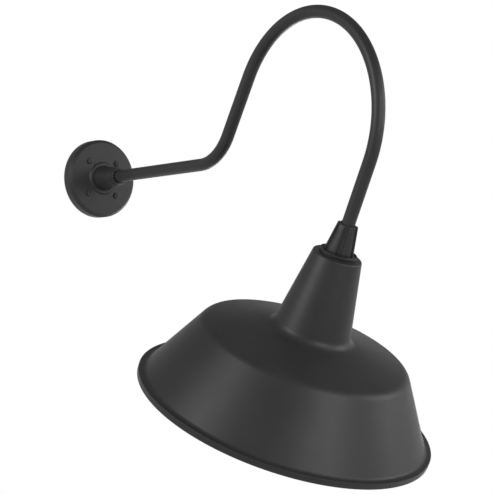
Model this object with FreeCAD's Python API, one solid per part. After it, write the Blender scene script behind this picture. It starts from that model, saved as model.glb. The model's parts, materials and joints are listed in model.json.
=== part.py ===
"""Gooseneck wall sconce: cast wall plate, bent tube arm, ribbed hub, spun shade and lampholder.

The wall is the plane y = 0, and the sconce stands out of it towards -Y. +Z is up and +X is to the
right for someone who faces the wall. The origin is the centre of the wall plate's back. All
sizes are in millimetres.

Wall pieces are drawn with (x, y, z) = (right, up, out from the wall) and then turned upright.
Head pieces are drawn round their own z axis, which runs down the lamp's axis from the end of the
arm's big bend, with y away from the wall, and are then set on the end of the arm.
"""
import FreeCAD, Part
import math
import os

Vec = FreeCAD.Vector

# ---- Wall plate (casting) -------------------------------------------------------------------
PLATE_D = 125.6            # outside diameter
PLATE_DEPTH = 19.1         # wall to face
PLATE_BEVEL_W = 4.6        # width of the bevel, seen from the front
PLATE_BEVEL_H = 4.8        # height of the bevel
PLATE_EDGE_ROUND = 0.9     # rounds at both ends of the bevel
PLATE_FRONT_T = 3.5        # thickness of the front wall
PLATE_RIM_T = 5.5          # thickness of the rim
BEAD_D = 53.2              # raised ring round the foot of the boss
BEAD_H = 3.1
BEAD_SLOPE_W = 1.6         # width of its sloping side
BEAD_INNER_D = 41.6        # inner edge of its crest
BEAD_VALLEY = 1.0          # crest to the valley at the boss
BOSS_BASE_WALL = 9.8       # round the tube, where the boss meets the face
BOSS_NOSE_WALL = 5.2       # round the tube, where the nose begins
BOSS_STEP = 0.9            # step in, where the nose begins
BOSS_TIP_WALL = 3.9        # round the tube, at the tip
BOSS_TIP_ROUND = 2.5
BOSS_LEN = 46.8            # face to tip
BOSS_NOSE_L = 7.1          # length of the nose
BOSS_MOUTH_GAP = 1.0       # round the tube, in the counterbore at the tip
BOSS_MOUTH_DEPTH = 3.0

# ---- Wall fixing ----------------------------------------------------------------------------
SCREW_SPACING = 52.2       # square of four screws
SCREW_D = 4.8              # plain shank, in the plate
SCREW_PAST = 0.5           # plain shank past the plate's back
SCREW_THREAD_D = 4.5       # threaded part, in the wall
SCREW_LEN = 38.0           # under the head
SCREW_HEAD_D = 9.6
SCREW_HEAD_H = 3.0
SCREW_POINT_L = 5.0
SCREW_HOLE_D = 5.4
SCREW_PAD_D = 12.5         # cast pad behind each screw
CROSS_W = 1.1              # cross recess in the head
CROSS_L = 5.2
CROSS_DEPTH = 1.6
GASKET_T = 3.0
GASKET_LIP = 3.0           # rim left outside the gasket
GASKET_INSET = 5.0         # gasket inside the wall of the cavity
GASKET_GAP = 0.2           # round the gasket in its rebate

# ---- Arm (tube) -----------------------------------------------------------------------------
TUBE_D = 19.05
TUBE_WALL = 1.65
TUBE_FIT = 0.06            # radial running fit in the boss and in the hub
WALL_RUN = 286.7           # wall to the first bend
UP_BEND_R = 76.2
UP_BEND_DEG = 59.8
RISE_RUN = 95.3            # straight between the bends
OVER_BEND_R = 154.8
OVER_BEND_DEG = 177.0
DROP_RUN = 121.8           # end of the big bend to the end of the tube
TUBE_TAIL = 6.6            # threaded end behind the plate's front wall
LOCK_NUT_WALL = 4.0        # tube to flat
LOCK_NUT_H = 5.0
SWIVEL_GAP = 0.2           # between pieces that turn against each other
BUSH_FLANGE_T = 1.6
BUSH_LEN = 8.0
BUSH_FIT = 0.1

# ---- Grub screws ----------------------------------------------------------------------------
GRUB_D = 5.0
GRUB_SOCKET_D = 2.8
GRUB_SOCKET_DEPTH = 2.0
GRUB_TIP_GAP = 0.3         # tip to tube, because the tube can turn past it
GRUB_SINK = 0.4            # below the surface round it
BOSS_GRUB_AT = 40.0        # from the wall
HUB_GRUB_UP = 12.0         # above the end of the tube
HUB_GRUB_SLOTS = (2, 4)    # grooves that hold a grub screw

# ---- Leads ----------------------------------------------------------------------------------
SLEEVE_D = 6.4
LEAD_D = 2.2
LEAD_PITCH = 3.2           # between the two leads of the pair
LEAD_BEND_R = 2.6
SLEEVE_PROUD = 0.9         # beyond each bush
CONNECTOR_D = 9.0
CONNECTOR_LEN = 16.0
CONNECTOR_MOUTH_D = 6.4
CONNECTOR_SKIRT = 3.0      # depth of the wide mouth
CONNECTOR_X = 12.0
CONNECTOR_MARGIN = 3.0     # corner of a connector to the gasket
CONNECTOR_GRIP = 8.0       # length of lead inside a connector
GROUND_X = 12.0
GROUND_Y = 36.0
GROUND_SCREW_D = 4.0
GROUND_HEAD_D = 8.0
GROUND_HEAD_H = 2.4
GROUND_PAD_H = 2.6
RING_OD = 9.4
RING_T = 0.8

# ---- Ribbed hub (casting) -------------------------------------------------------------------
HUB_LEN = 41.7
HUB_TOP_WALL = 5.0         # round the tube, at the top
HUB_BASE_D = 42.2
HUB_GRIP = 30.1            # length of tube inside the hub
HUB_MOUTH_GAP = 1.5        # round the tube, in the counterbore at the top
HUB_MOUTH_DEPTH = 5.0
HUB_GROOVES = 6
HUB_GROOVE_DEG = 26.0      # width of a groove, seen along the axis
HUB_GROOVE_DEPTH = 3.0
HUB_CLOCKING = 40.0        # first groove, from the side away from the wall towards -X
HUB_EDGE_ROUND = 0.7

# ---- Collar, gasket and clamp ---------------------------------------------------------------
COLLAR_D = 53.8
COLLAR_H = 3.8             # seat of the hub to the base
COLLAR_SEAT_GAP = 0.5      # seat's edge outside the hub
COLLAR_DISH_DEPTH = 0.8    # seat to the floor of the dish
COLLAR_LIP_W = 2.0
COLLAR_LIP_RISE = 0.8      # crest of the lip above the seat
COLLAR_RING_H = 2.7        # crest of the lip to the undercut
COLLAR_UNDERCUT = 1.4      # from the ring's edge inwards
COLLAR_ROUND = 0.7
NECK_GASKET_INSET = 0.6    # inside the undercut
NECK_GASKET_T = 0.8
NIPPLE_D = 13.2
NIPPLE_WALL = 1.9
NIPPLE_GAP = 0.9           # end of the nipple to the end of the tube
NIPPLE_CLEAR = 0.2         # round the nipple, radial
WASHER_D = 30.0
WASHER_T = 1.6
NECK_NUT_WALL = 4.4        # nipple to flat
NECK_NUT_H = 5.0
BRACKET_T = 1.6
BRACKET_NUT_WALL = 2.9
BRACKET_NUT_H = 4.0
NIPPLE_PROUD = 1.2         # beyond the bracket's nut

# ---- Shade (spun steel) ---------------------------------------------------------------------
SHADE_D = 432.0            # over the rolled rim
SHADE_T = 1.0
NECK_TOP_D = 70.3
NECK_H = 117.7             # top of the neck to the foot of the neck
NECK_BASE_D = 112.4
SHOULDER_H = 20.3
SHOULDER_D = 299.2
SKIRT_H = 98.8             # shoulder to the top of the rolled rim
SKIRT_FLARE_W = 4.1        # end of the skirt to the middle of the roll
RIM_ROLL_D = 9.7
RIM_ROLL_DEG = 290.0
NECK_TOP_ROUND = 2.6
NECK_FOOT_ROUND = 8.0
SHOULDER_ROUND = 10.0
SKIRT_FLARE_R = 4.0

# ---- Lampholder -----------------------------------------------------------------------------
HOLDER_D = 50.0
HOLDER_MOUTH_D = 46.0
HOLDER_H = 63.0
HOLDER_BASE_H = 22.0       # height of the wide base
HOLDER_STEP_H = 6.0        # height of the slope to the mouth
HOLDER_WELL_D = 34.0       # wiring well at the back
HOLDER_WELL_DEPTH = 15.0
HOLDER_WEB_T = 14.0        # between the well and the lamp's socket
HOLDER_ROUND = 2.0
SHELL_BORE = 26.4          # medium screw base
SHELL_T = 0.4
SHELL_LEN = 28.0
SHELL_GAP = 0.25           # shell to porcelain, radial
SHELL_GAP_LOW = 0.5        # contact's tip to the shell
CONTACT_W = 6.0
CONTACT_T = 0.5
CONTACT_LEN = 14.0
CONTACT_RISE = 2.6
HOLDER_SCREW_D = 4.0
HOLDER_SCREW_LEN = 12.0
HOLDER_SCREW_HEAD_D = 7.0
HOLDER_SCREW_HEAD_H = 2.2
TERMINAL_INSET = 1.8       # screw heads to the wall of the well
TERMINAL_D = 6.4
TERMINAL_HEAD_H = 2.2
TERMINAL_SHANK_D = 3.4
TERMINAL_GRIP = 6.0        # length of shank in the porcelain
CONDUCTOR_D = 1.4
THREAD_CLEAR = 0.1         # round every screw in its hole, radial

# ---- Places that follow from the sizes ------------------------------------------------------
TUBE_R = TUBE_D / 2
BORE_R = TUBE_R + TUBE_FIT
PLATE_R = PLATE_D / 2
CAVITY_R = PLATE_R - PLATE_RIM_T
CAVITY_TOP = PLATE_DEPTH - PLATE_FRONT_T
REBATE_R = PLATE_R - GASKET_LIP
GASKET_INNER_R = CAVITY_R - GASKET_INSET
BOSS_BASE_R = TUBE_R + BOSS_BASE_WALL
BOSS_NOSE_R = TUBE_R + BOSS_NOSE_WALL
BOSS_TIP_R = TUBE_R + BOSS_TIP_WALL
BOSS_TIP = PLATE_DEPTH + BOSS_LEN
LOCK_NUT_R = (TUBE_R + LOCK_NUT_WALL) * 2 / math.sqrt(3)
GROUND_SEAT = CAVITY_TOP - GROUND_PAD_H
CONNECTOR_OUT = CAVITY_TOP / 2
CONNECTOR_END = math.sqrt((GASKET_INNER_R - CONNECTOR_MARGIN) ** 2
                          - (CONNECTOR_X + CONNECTOR_D / 2) ** 2)
CONNECTOR_MOUTH = CONNECTOR_END - CONNECTOR_LEN
TUBE_START = CAVITY_TOP - TUBE_TAIL
SLEEVE_START = TUBE_START - BUSH_FLANGE_T - SLEEVE_PROUD
END_DEG = UP_BEND_DEG - OVER_BEND_DEG

HUB_TOP = DROP_RUN - HUB_GRIP
HUB_BASE = HUB_TOP + HUB_LEN
HUB_STOP = DROP_RUN + SWIVEL_GAP
HUB_TOP_R = TUBE_R + HUB_TOP_WALL
HUB_BASE_R = HUB_BASE_D / 2
COLLAR_R = COLLAR_D / 2
COLLAR_FOOT_R = COLLAR_R - COLLAR_UNDERCUT
COLLAR_BASE = HUB_BASE + COLLAR_H
NECK_TOP = COLLAR_BASE + NECK_GASKET_T
WASHER_TOP = NECK_TOP + SHADE_T
NECK_NUT_TOP = WASHER_TOP + WASHER_T
BRACKET_TOP = NECK_NUT_TOP + NECK_NUT_H
HOLDER_TOP = BRACKET_TOP + BRACKET_T
NIPPLE_R = NIPPLE_D / 2
NIPPLE_TOP = HUB_STOP + NIPPLE_GAP
NIPPLE_END = HOLDER_TOP + BRACKET_NUT_H + NIPPLE_PROUD
WELL_FLOOR = HOLDER_TOP + HOLDER_WELL_DEPTH
SOCKET_FLOOR = WELL_FLOOR + HOLDER_WEB_T
SHELL_LOW = SOCKET_FLOOR + CONTACT_RISE + CONTACT_T + SHELL_GAP_LOW
HOLDER_END = HOLDER_TOP + HOLDER_H
NIPPLE_HOLE_R = NIPPLE_R + NIPPLE_CLEAR
THREAD_HOLE_R = NIPPLE_R + THREAD_CLEAR
HOLDER_R = HOLDER_D / 2
WELL_R = HOLDER_WELL_D / 2
SHELL_R = SHELL_BORE / 2
TERMINAL_X = WELL_R - TERMINAL_INSET - TERMINAL_D / 2


# ---- Helpers --------------------------------------------------------------------------------
def disc(radius, low, high, x=0.0, y=0.0):
    """A round bar along z."""
    return Part.makeCylinder(radius, high - low, Vec(x, y, low))


def ring(outer, inner, low, high):
    """A flat ring round the z axis."""
    return disc(outer, low, high).cut(disc(inner, low - 1, high + 1))


def rounded_edges(points):
    """Edges through (r, z, round) points in the xz plane, with each inner corner rounded."""
    edges = []
    start = Vec(points[0][0], 0, points[0][1])
    for index in range(1, len(points) - 1):
        radius = points[index][2]
        corner = Vec(points[index][0], 0, points[index][1])
        ahead = Vec(points[index + 1][0], 0, points[index + 1][1])
        to_start = (start - corner).normalize()
        to_ahead = (ahead - corner).normalize()
        half = to_start.getAngle(to_ahead) / 2
        if radius > 0:
            first = corner + to_start * (radius / math.tan(half))
            last = corner + to_ahead * (radius / math.tan(half))
            bisector = (to_start + to_ahead).normalize()
            middle = corner + bisector * (radius / math.sin(half) - radius)
            edges.append(Part.LineSegment(start, first).toShape())
            edges.append(Part.Arc(first, middle, last).toShape())
            start = last
        else:
            edges.append(Part.LineSegment(start, corner).toShape())
            start = corner
    end = Vec(points[-1][0], 0, points[-1][1])
    edges.append(Part.LineSegment(start, end).toShape())
    return edges


def turned(points):
    """A solid of revolution round z, from a closed outline of (r, z, round) points."""
    outline = list(points) + [points[0]]
    face = Part.Face(Part.Wire(rounded_edges(outline)))
    return face.revolve(Vec(0, 0, 0), Vec(0, 0, 1), 360)


def hexagon(across_flats, low, high, hole_r, turn=0.0):
    """A hexagon nut with its corners bevelled on both sides."""
    corner = across_flats / math.sqrt(3)
    points = []
    for step in range(7):
        angle = math.radians(60 * step + turn)
        points.append(Vec(corner * math.cos(angle), corner * math.sin(angle), low))
    prism = Part.Face(Part.makePolygon(points)).extrude(Vec(0, 0, high - low))
    bevel = (corner - across_flats / 2) * 0.6
    edge = across_flats / 2 + (corner - across_flats / 2) * 0.35
    bounds = turned([(0, low, 0), (edge, low, 0), (corner, low + bevel, 0),
                     (corner, high - bevel, 0), (edge, high, 0), (0, high, 0)])
    return prism.common(bounds).cut(disc(hole_r, low - 1, high + 1))


def pan_screw(shank_d, head_d, head_h, length, point_l):
    """A pan-head screw along z: its head stands above z = 0 and its shank runs below."""
    shank_r = shank_d / 2
    screw = turned([(0, -length, 0), (shank_r * 0.35, -length, 0), (shank_r, -length + point_l, 0),
                    (shank_r, 0, 0), (head_d / 2, 0, 0), (head_d / 2, head_h, head_h * 0.6),
                    (0, head_h, 0)])
    for angle in (0, 90):
        slot = Part.makeBox(CROSS_L * head_d / SCREW_HEAD_D, CROSS_W, CROSS_DEPTH + 1)
        slot.translate(Vec(-slot.BoundBox.XLength / 2, -CROSS_W / 2, head_h - CROSS_DEPTH))
        slot.rotate(Vec(0, 0, 0), Vec(0, 0, 1), angle)
        screw = screw.cut(slot)
    return screw


def grub_screw(tip_r, end_r):
    """A grub screw along x, from its cup tip to its hexagon socket."""
    body = Part.makeCylinder(GRUB_D / 2, end_r - tip_r, Vec(tip_r, 0, 0), Vec(1, 0, 0))
    points = []
    for step in range(7):
        angle = math.radians(60 * step)
        points.append(Vec(end_r, GRUB_SOCKET_D / 2 * math.cos(angle),
                          GRUB_SOCKET_D / 2 * math.sin(angle)))
    socket = Part.Face(Part.makePolygon(points)).extrude(Vec(-GRUB_SOCKET_DEPTH, 0, 0))
    return body.cut(socket)


def wire_along(points, bend_r, diameter):
    """A round wire through 3D points, with every corner bent to one radius."""
    edges = []
    start = points[0]
    for corner, ahead in zip(points[1:-1], points[2:]):
        to_start = (start - corner).normalize()
        to_ahead = (ahead - corner).normalize()
        half = to_start.getAngle(to_ahead) / 2
        first = corner + to_start * (bend_r / math.tan(half))
        last = corner + to_ahead * (bend_r / math.tan(half))
        middle = corner + (to_start + to_ahead).normalize() * (bend_r / math.sin(half) - bend_r)
        edges.append(Part.LineSegment(start, first).toShape())
        edges.append(Part.Arc(first, middle, last).toShape())
        start = last
    edges.append(Part.LineSegment(start, points[-1]).toShape())
    path = Part.Wire(edges)
    section = Part.Wire(Part.makeCircle(diameter / 2, points[0], points[1] - points[0]))
    return path.makePipeShell([section], True, False)


def upright(shape):
    """Set a wall piece on the wall: its z axis turns out from the wall."""
    shape.rotate(Vec(0, 0, 0), Vec(1, 0, 0), 90)
    return shape


# ---- Arm centreline -------------------------------------------------------------------------
def arm_route(start):
    """The arm's centreline as edges, from start (out from the wall) to the end of the tube."""
    def place(out, up):
        return Vec(0, -out, up)

    up_turn = math.radians(UP_BEND_DEG)
    end_turn = math.radians(END_DEG)
    first_centre = (WALL_RUN, UP_BEND_R)

    def on_first(angle):
        return (first_centre[0] + UP_BEND_R * math.sin(angle),
                first_centre[1] - UP_BEND_R * math.cos(angle))

    rise_start = on_first(up_turn)
    rise_end = (rise_start[0] + RISE_RUN * math.cos(up_turn),
                rise_start[1] + RISE_RUN * math.sin(up_turn))
    over_centre = (rise_end[0] + OVER_BEND_R * math.sin(up_turn),
                   rise_end[1] - OVER_BEND_R * math.cos(up_turn))

    def on_over(angle):
        return (over_centre[0] - OVER_BEND_R * math.sin(angle),
                over_centre[1] + OVER_BEND_R * math.cos(angle))

    over_end = on_over(end_turn)
    tube_end = (over_end[0] + DROP_RUN * math.cos(end_turn),
                over_end[1] + DROP_RUN * math.sin(end_turn))
    edges = [
        Part.LineSegment(place(start, 0), place(WALL_RUN, 0)).toShape(),
        Part.Arc(place(WALL_RUN, 0), place(*on_first(up_turn / 2)), place(*rise_start)).toShape(),
        Part.LineSegment(place(*rise_start), place(*rise_end)).toShape(),
        Part.Arc(place(*rise_end), place(*on_over((up_turn + end_turn) / 2)),
                 place(*over_end)).toShape(),
        Part.LineSegment(place(*over_end), place(*tube_end)).toShape(),
    ]
    return edges, place(*over_end), place(*tube_end)


HEAD_ORIGIN = arm_route(TUBE_START)[1]


def on_arm(shape):
    """Set a head piece on the arm: its z axis turns to the lamp's axis."""
    shape.rotate(Vec(0, 0, 0), Vec(1, 0, 0), 90 - END_DEG)
    shape.translate(HEAD_ORIGIN)
    return shape


def round_bar_on_route(radius, start, past_end):
    """A bar of this radius along the arm's route, lengthened past the tube's end."""
    edges, _, tube_end = arm_route(start)
    if past_end > 0:
        last = edges[-1].Vertexes[0].Point
        direction = (tube_end - last).normalize()
        edges[-1] = Part.LineSegment(last, tube_end + direction * past_end).toShape()
    section = Part.Wire(Part.makeCircle(radius, Vec(0, -start, 0), Vec(0, 1, 0)))
    return Part.Wire(edges).makePipeShell([section], True, False)


# ---- Wall plate and what it holds -----------------------------------------------------------
def screw_places():
    half = SCREW_SPACING / 2
    return [(-half, half), (half, half), (-half, -half), (half, -half)]


def boss_radius_at(out):
    """Radius of the boss at a distance out from the wall."""
    share = (out - PLATE_DEPTH) / (BOSS_LEN - BOSS_NOSE_L)
    return BOSS_BASE_R + (BOSS_NOSE_R - BOSS_BASE_R) * share


def wall_plate():
    bevel_low = PLATE_DEPTH - PLATE_BEVEL_H
    bead_top = PLATE_DEPTH + BEAD_H
    valley = bead_top - BEAD_VALLEY
    nose_start = BOSS_TIP - BOSS_NOSE_L
    body = turned([
        (0, 0, 0), (PLATE_R, 0, 0.4), (PLATE_R, bevel_low, PLATE_EDGE_ROUND),
        (PLATE_R - PLATE_BEVEL_W, PLATE_DEPTH, PLATE_EDGE_ROUND), (BEAD_D / 2, PLATE_DEPTH, 0),
        (BEAD_D / 2 - BEAD_SLOPE_W, bead_top - 0.4, 0.9), (BEAD_INNER_D / 2, bead_top, 0.6),
        (boss_radius_at(valley), valley, 0), (BOSS_NOSE_R, nose_start, 0.4),
        (BOSS_NOSE_R - BOSS_STEP, nose_start, 0), (BOSS_TIP_R, BOSS_TIP, BOSS_TIP_ROUND),
        (0, BOSS_TIP, 0)])
    cavity = turned([(0, -1, 0), (CAVITY_R, -1, 0), (CAVITY_R, CAVITY_TOP, 2.0), (0, CAVITY_TOP, 0)])
    rebate = disc(REBATE_R, -1, GASKET_T)
    for x, y in screw_places():
        pad = disc(SCREW_PAD_D / 2, -2, CAVITY_TOP + 1, x, y)
        cavity = cavity.cut(pad)
        rebate = rebate.cut(pad)
    cavity = cavity.cut(disc(GROUND_HEAD_D / 2 + 1, GROUND_SEAT, CAVITY_TOP + 1, GROUND_X, -GROUND_Y))
    body = body.cut(cavity).cut(rebate)
    body = body.cut(disc(BORE_R, -1, BOSS_TIP + 1))
    body = body.cut(disc(TUBE_R + BOSS_MOUTH_GAP, BOSS_TIP - BOSS_MOUTH_DEPTH, BOSS_TIP + 1))
    for x, y in screw_places():
        body = body.cut(disc(SCREW_HOLE_D / 2, -1, PLATE_DEPTH + 1, x, y))
    body = body.cut(disc(GROUND_SCREW_D / 2 + THREAD_CLEAR, GROUND_SEAT - 1, PLATE_DEPTH - 1,
                         GROUND_X, -GROUND_Y))
    hole = Part.makeCylinder(GRUB_D / 2 + THREAD_CLEAR, BOSS_BASE_R * 2, Vec(0, 0, BOSS_GRUB_AT),
                             Vec(0, -1, 0))
    return upright(body.cut(hole).removeSplitter())


def wall_gasket():
    return upright(ring(REBATE_R - GASKET_GAP, GASKET_INNER_R, 0, GASKET_T))


def plate_screws():
    screws = []
    for x, y in screw_places():
        screw = pan_screw(SCREW_D, SCREW_HEAD_D, SCREW_HEAD_H, PLATE_DEPTH + SCREW_PAST, 0.2)
        threaded = turned([(0, 0, 0), (0, -SCREW_LEN, 0), (0.5, -SCREW_LEN, 0),
                           (SCREW_THREAD_D / 2, SCREW_POINT_L - SCREW_LEN, 0),
                           (SCREW_THREAD_D / 2, 0, 0)])
        screw = screw.fuse(threaded)
        screw.rotate(Vec(0, 0, 0), Vec(0, 0, 1), 20 + x)
        screw.translate(Vec(x, y, PLATE_DEPTH))
        screws.append(upright(screw))
    return Part.makeCompound(screws)


def boss_set_screw():
    screw = grub_screw(TUBE_R + GRUB_TIP_GAP, boss_radius_at(BOSS_GRUB_AT) - GRUB_SINK)
    screw.rotate(Vec(0, 0, 0), Vec(0, 0, 1), -90)
    screw.translate(Vec(0, 0, BOSS_GRUB_AT))
    return upright(screw)


def connector_places():
    """Side and direction of each wire connector in the plate's cavity."""
    return [(-1, 1), (1, 1), (-1, -1)]


def wire_connectors():
    caps = []
    for side, way in connector_places():
        cap = turned([(0, 0, 0), (CONNECTOR_D / 2, 0, 0.6), (CONNECTOR_D / 2, CONNECTOR_LEN / 2, 1),
                      (CONNECTOR_D / 3, CONNECTOR_LEN, 1.2), (0, CONNECTOR_LEN, 0)])
        cap = cap.cut(disc(CONNECTOR_MOUTH_D / 2, -1, CONNECTOR_SKIRT))
        cap = cap.cut(disc(LEAD_D / 2 + THREAD_CLEAR, -1, CONNECTOR_GRIP + THREAD_CLEAR))
        cap.rotate(Vec(0, 0, 0), Vec(1, 0, 0), -90 * way)
        cap.translate(Vec(side * CONNECTOR_X, way * CONNECTOR_MOUTH, CONNECTOR_OUT))
        caps.append(upright(cap))
    return Part.makeCompound(caps)


def lead_tail(side):
    """A lead from the end of the sleeve into its connector."""
    near = side * LEAD_PITCH / 2
    low = SLEEVE_START - LEAD_BEND_R - 0.2
    x = side * CONNECTOR_X
    points = [Vec(near, 0, SLEEVE_START), Vec(near, 0, low), Vec(near, LOCK_NUT_R, low),
              Vec(x, CONNECTOR_MOUTH - 2 * LEAD_BEND_R, CONNECTOR_OUT),
              Vec(x, CONNECTOR_MOUTH + CONNECTOR_GRIP, CONNECTOR_OUT)]
    return upright(wire_along(points, LEAD_BEND_R, LEAD_D))


def ground_lead():
    """The bonding lead, from the ring under the ground screw into its connector."""
    seat = GROUND_SEAT - RING_T
    hole_r = GROUND_SCREW_D / 2 + THREAD_CLEAR
    eye = disc(RING_OD / 2, seat, GROUND_SEAT, GROUND_X, -GROUND_Y)
    eye = eye.cut(disc(hole_r, seat - 1, GROUND_SEAT + 1, GROUND_X, -GROUND_Y))
    level = GROUND_SEAT - LEAD_D / 2
    side = -CONNECTOR_X
    points = [Vec(GROUND_X, RING_OD / 2 - 0.5 - GROUND_Y, level),
              Vec(GROUND_X, -LOCK_NUT_R - 2.5 * LEAD_BEND_R, level),
              Vec(0, -LOCK_NUT_R - LEAD_BEND_R, CONNECTOR_OUT),
              Vec(side, -LOCK_NUT_R - 2.5 * LEAD_BEND_R, CONNECTOR_OUT),
              Vec(side, -CONNECTOR_MOUTH - CONNECTOR_GRIP, CONNECTOR_OUT)]
    return upright(eye.fuse(wire_along(points, LEAD_BEND_R, LEAD_D)))


def ground_screw():
    screw = pan_screw(GROUND_SCREW_D, GROUND_HEAD_D, GROUND_HEAD_H, GROUND_PAD_H + 1.2, 0.5)
    screw.rotate(Vec(0, 0, 0), Vec(1, 0, 0), 180)
    screw.translate(Vec(GROUND_X, -GROUND_Y, GROUND_SEAT - RING_T))
    return upright(screw)


# ---- Arm and what it holds ------------------------------------------------------------------
def gooseneck_arm():
    outer = round_bar_on_route(TUBE_R, TUBE_START, 0)
    inner = round_bar_on_route(TUBE_R - TUBE_WALL, TUBE_START, 0)
    return outer.cut(inner)


def arm_lock_nut():
    high = CAVITY_TOP - SWIVEL_GAP
    across_flats = TUBE_D + 2 * LOCK_NUT_WALL
    return upright(hexagon(across_flats, high - LOCK_NUT_H, high, TUBE_R + THREAD_CLEAR))


def end_bush():
    """An insulating bush: its flange lies below z = 0 and its spigot above."""
    spigot_r = TUBE_R - TUBE_WALL - BUSH_FIT
    bush = turned([(SLEEVE_D / 2 + BUSH_FIT, -BUSH_FLANGE_T, 0), (TUBE_R, -BUSH_FLANGE_T, 0.4),
                   (TUBE_R, 0, 0), (spigot_r, 0, 0), (spigot_r, BUSH_LEN, 0.5),
                   (SLEEVE_D / 2 + BUSH_FIT, BUSH_LEN, 0)])
    return bush


def wall_end_bush():
    bush = end_bush()
    bush.translate(Vec(0, 0, TUBE_START))
    return upright(bush)


def lamp_end_bush():
    bush = end_bush()
    spigot_r = TUBE_R - TUBE_WALL - BUSH_FIT
    bush = bush.common(disc(spigot_r, 0, BUSH_LEN + 1))
    bush.rotate(Vec(0, 0, 0), Vec(1, 0, 0), 180)
    bush.translate(Vec(0, 0, DROP_RUN))
    return on_arm(bush)


def arm_lead_sleeve():
    return round_bar_on_route(SLEEVE_D / 2, SLEEVE_START, 0)


# ---- Head -----------------------------------------------------------------------------------
def hub_radius_at(z):
    return HUB_TOP_R + (HUB_BASE_R - HUB_TOP_R) * (z - HUB_TOP) / HUB_LEN


def groove_section(z, reach):
    """One cross-section of a groove's cutter at height z, along +y."""
    radius = hub_radius_at(z)
    half = radius * math.sin(math.radians(HUB_GROOVE_DEG / 2))
    floor = radius - HUB_GROOVE_DEPTH
    corners = [Vec(-half * 0.8, floor, z), Vec(half * 0.8, floor, z),
               Vec(half * 1.25, radius + reach, z), Vec(-half * 1.25, radius + reach, z)]
    return Part.makePolygon(corners + [corners[0]])


def groove_angle(index):
    """Angle of a groove about z, measured from the +y side towards -x."""
    return HUB_CLOCKING + index * 360 / HUB_GROOVES


def ribbed_hub():
    body = turned([
        (BORE_R, HUB_TOP, 0), (HUB_TOP_R, HUB_TOP, HUB_EDGE_ROUND),
        (HUB_BASE_R, HUB_BASE, HUB_EDGE_ROUND), (THREAD_HOLE_R, HUB_BASE, 0),
        (THREAD_HOLE_R, HUB_STOP, 0), (BORE_R, HUB_STOP, 0)])
    body = body.cut(disc(TUBE_R + HUB_MOUTH_GAP, HUB_TOP - 1, HUB_TOP + HUB_MOUTH_DEPTH))
    for index in range(HUB_GROOVES):
        cutter = Part.makeLoft([groove_section(HUB_TOP - 1, 3), groove_section(HUB_BASE + 1, 3)],
                               True, True)
        cutter.rotate(Vec(0, 0, 0), Vec(0, 0, 1), groove_angle(index))
        body = body.cut(cutter)
    for index in HUB_GRUB_SLOTS:
        hole = Part.makeCylinder(GRUB_D / 2 + THREAD_CLEAR, HUB_BASE_D,
                                 Vec(0, 0, DROP_RUN - HUB_GRUB_UP), Vec(0, 1, 0))
        hole.rotate(Vec(0, 0, 0), Vec(0, 0, 1), groove_angle(index))
        body = body.cut(hole)
    return on_arm(body)


def hub_set_screws():
    level = DROP_RUN - HUB_GRUB_UP
    floor = hub_radius_at(level) - HUB_GROOVE_DEPTH
    screws = []
    for index in HUB_GRUB_SLOTS:
        screw = grub_screw(TUBE_R + GRUB_TIP_GAP, floor - GRUB_SINK)
        screw.rotate(Vec(0, 0, 0), Vec(0, 0, 1), 90 + groove_angle(index))
        screw.translate(Vec(0, 0, level))
        screws.append(on_arm(screw))
    return Part.makeCompound(screws)


def neck_collar():
    crest = HUB_BASE - COLLAR_LIP_RISE
    ring_low = crest + COLLAR_RING_H
    dish_floor = HUB_BASE + COLLAR_DISH_DEPTH
    seat_r = HUB_BASE_R + COLLAR_SEAT_GAP
    return on_arm(turned([
        (NIPPLE_HOLE_R, COLLAR_BASE, 0), (COLLAR_FOOT_R, COLLAR_BASE, 0.3),
        (COLLAR_FOOT_R, ring_low, 0), (COLLAR_R, ring_low, 0.4), (COLLAR_R, crest, COLLAR_ROUND),
        (COLLAR_R - COLLAR_LIP_W, crest, COLLAR_ROUND), (COLLAR_R - COLLAR_LIP_W, dish_floor, 0.4),
        (seat_r, dish_floor, 0), (seat_r, HUB_BASE, 0), (NIPPLE_HOLE_R, HUB_BASE, 0)]))


def neck_gasket():
    return on_arm(ring(COLLAR_FOOT_R - NECK_GASKET_INSET, NIPPLE_HOLE_R, COLLAR_BASE, NECK_TOP))


def shade_outline():
    """The shade's outer surface, from the nipple's hole to the end of the rolled rim."""
    roll_r = RIM_ROLL_D / 2
    centre_r = SHADE_D / 2 - roll_r
    foot = NECK_TOP + NECK_H
    crest = foot + SHOULDER_H
    roll_top = crest + SKIRT_H
    edges = rounded_edges([
        (NIPPLE_HOLE_R, NECK_TOP, 0), (NECK_TOP_D / 2, NECK_TOP, NECK_TOP_ROUND),
        (NECK_BASE_D / 2, foot, NECK_FOOT_ROUND), (SHOULDER_D / 2, crest, SHOULDER_ROUND),
        (centre_r - SKIRT_FLARE_W, roll_top, SKIRT_FLARE_R), (centre_r, roll_top, 0)])

    def on_roll(degrees):
        angle = math.radians(degrees)
        return Vec(centre_r + roll_r * math.sin(angle), 0, roll_top + roll_r * (1 - math.cos(angle)))

    edges.append(Part.Arc(on_roll(0), on_roll(RIM_ROLL_DEG / 2), on_roll(RIM_ROLL_DEG)).toShape())
    return edges


def shade():
    outer = Part.Wire(shade_outline())
    wall = outer.makeOffset2D(SHADE_T, 0, True, True)
    return on_arm(wall.revolve(Vec(0, 0, 0), Vec(0, 0, 1), 360))


def threaded_nipple():
    return on_arm(ring(NIPPLE_R, NIPPLE_R - NIPPLE_WALL, NIPPLE_TOP, NIPPLE_END))


def neck_washer():
    return on_arm(ring(WASHER_D / 2, NIPPLE_HOLE_R, WASHER_TOP, NECK_NUT_TOP))


def neck_lock_nut():
    return on_arm(hexagon(NIPPLE_D + 2 * NECK_NUT_WALL, NECK_NUT_TOP, BRACKET_TOP, THREAD_HOLE_R))


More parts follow.
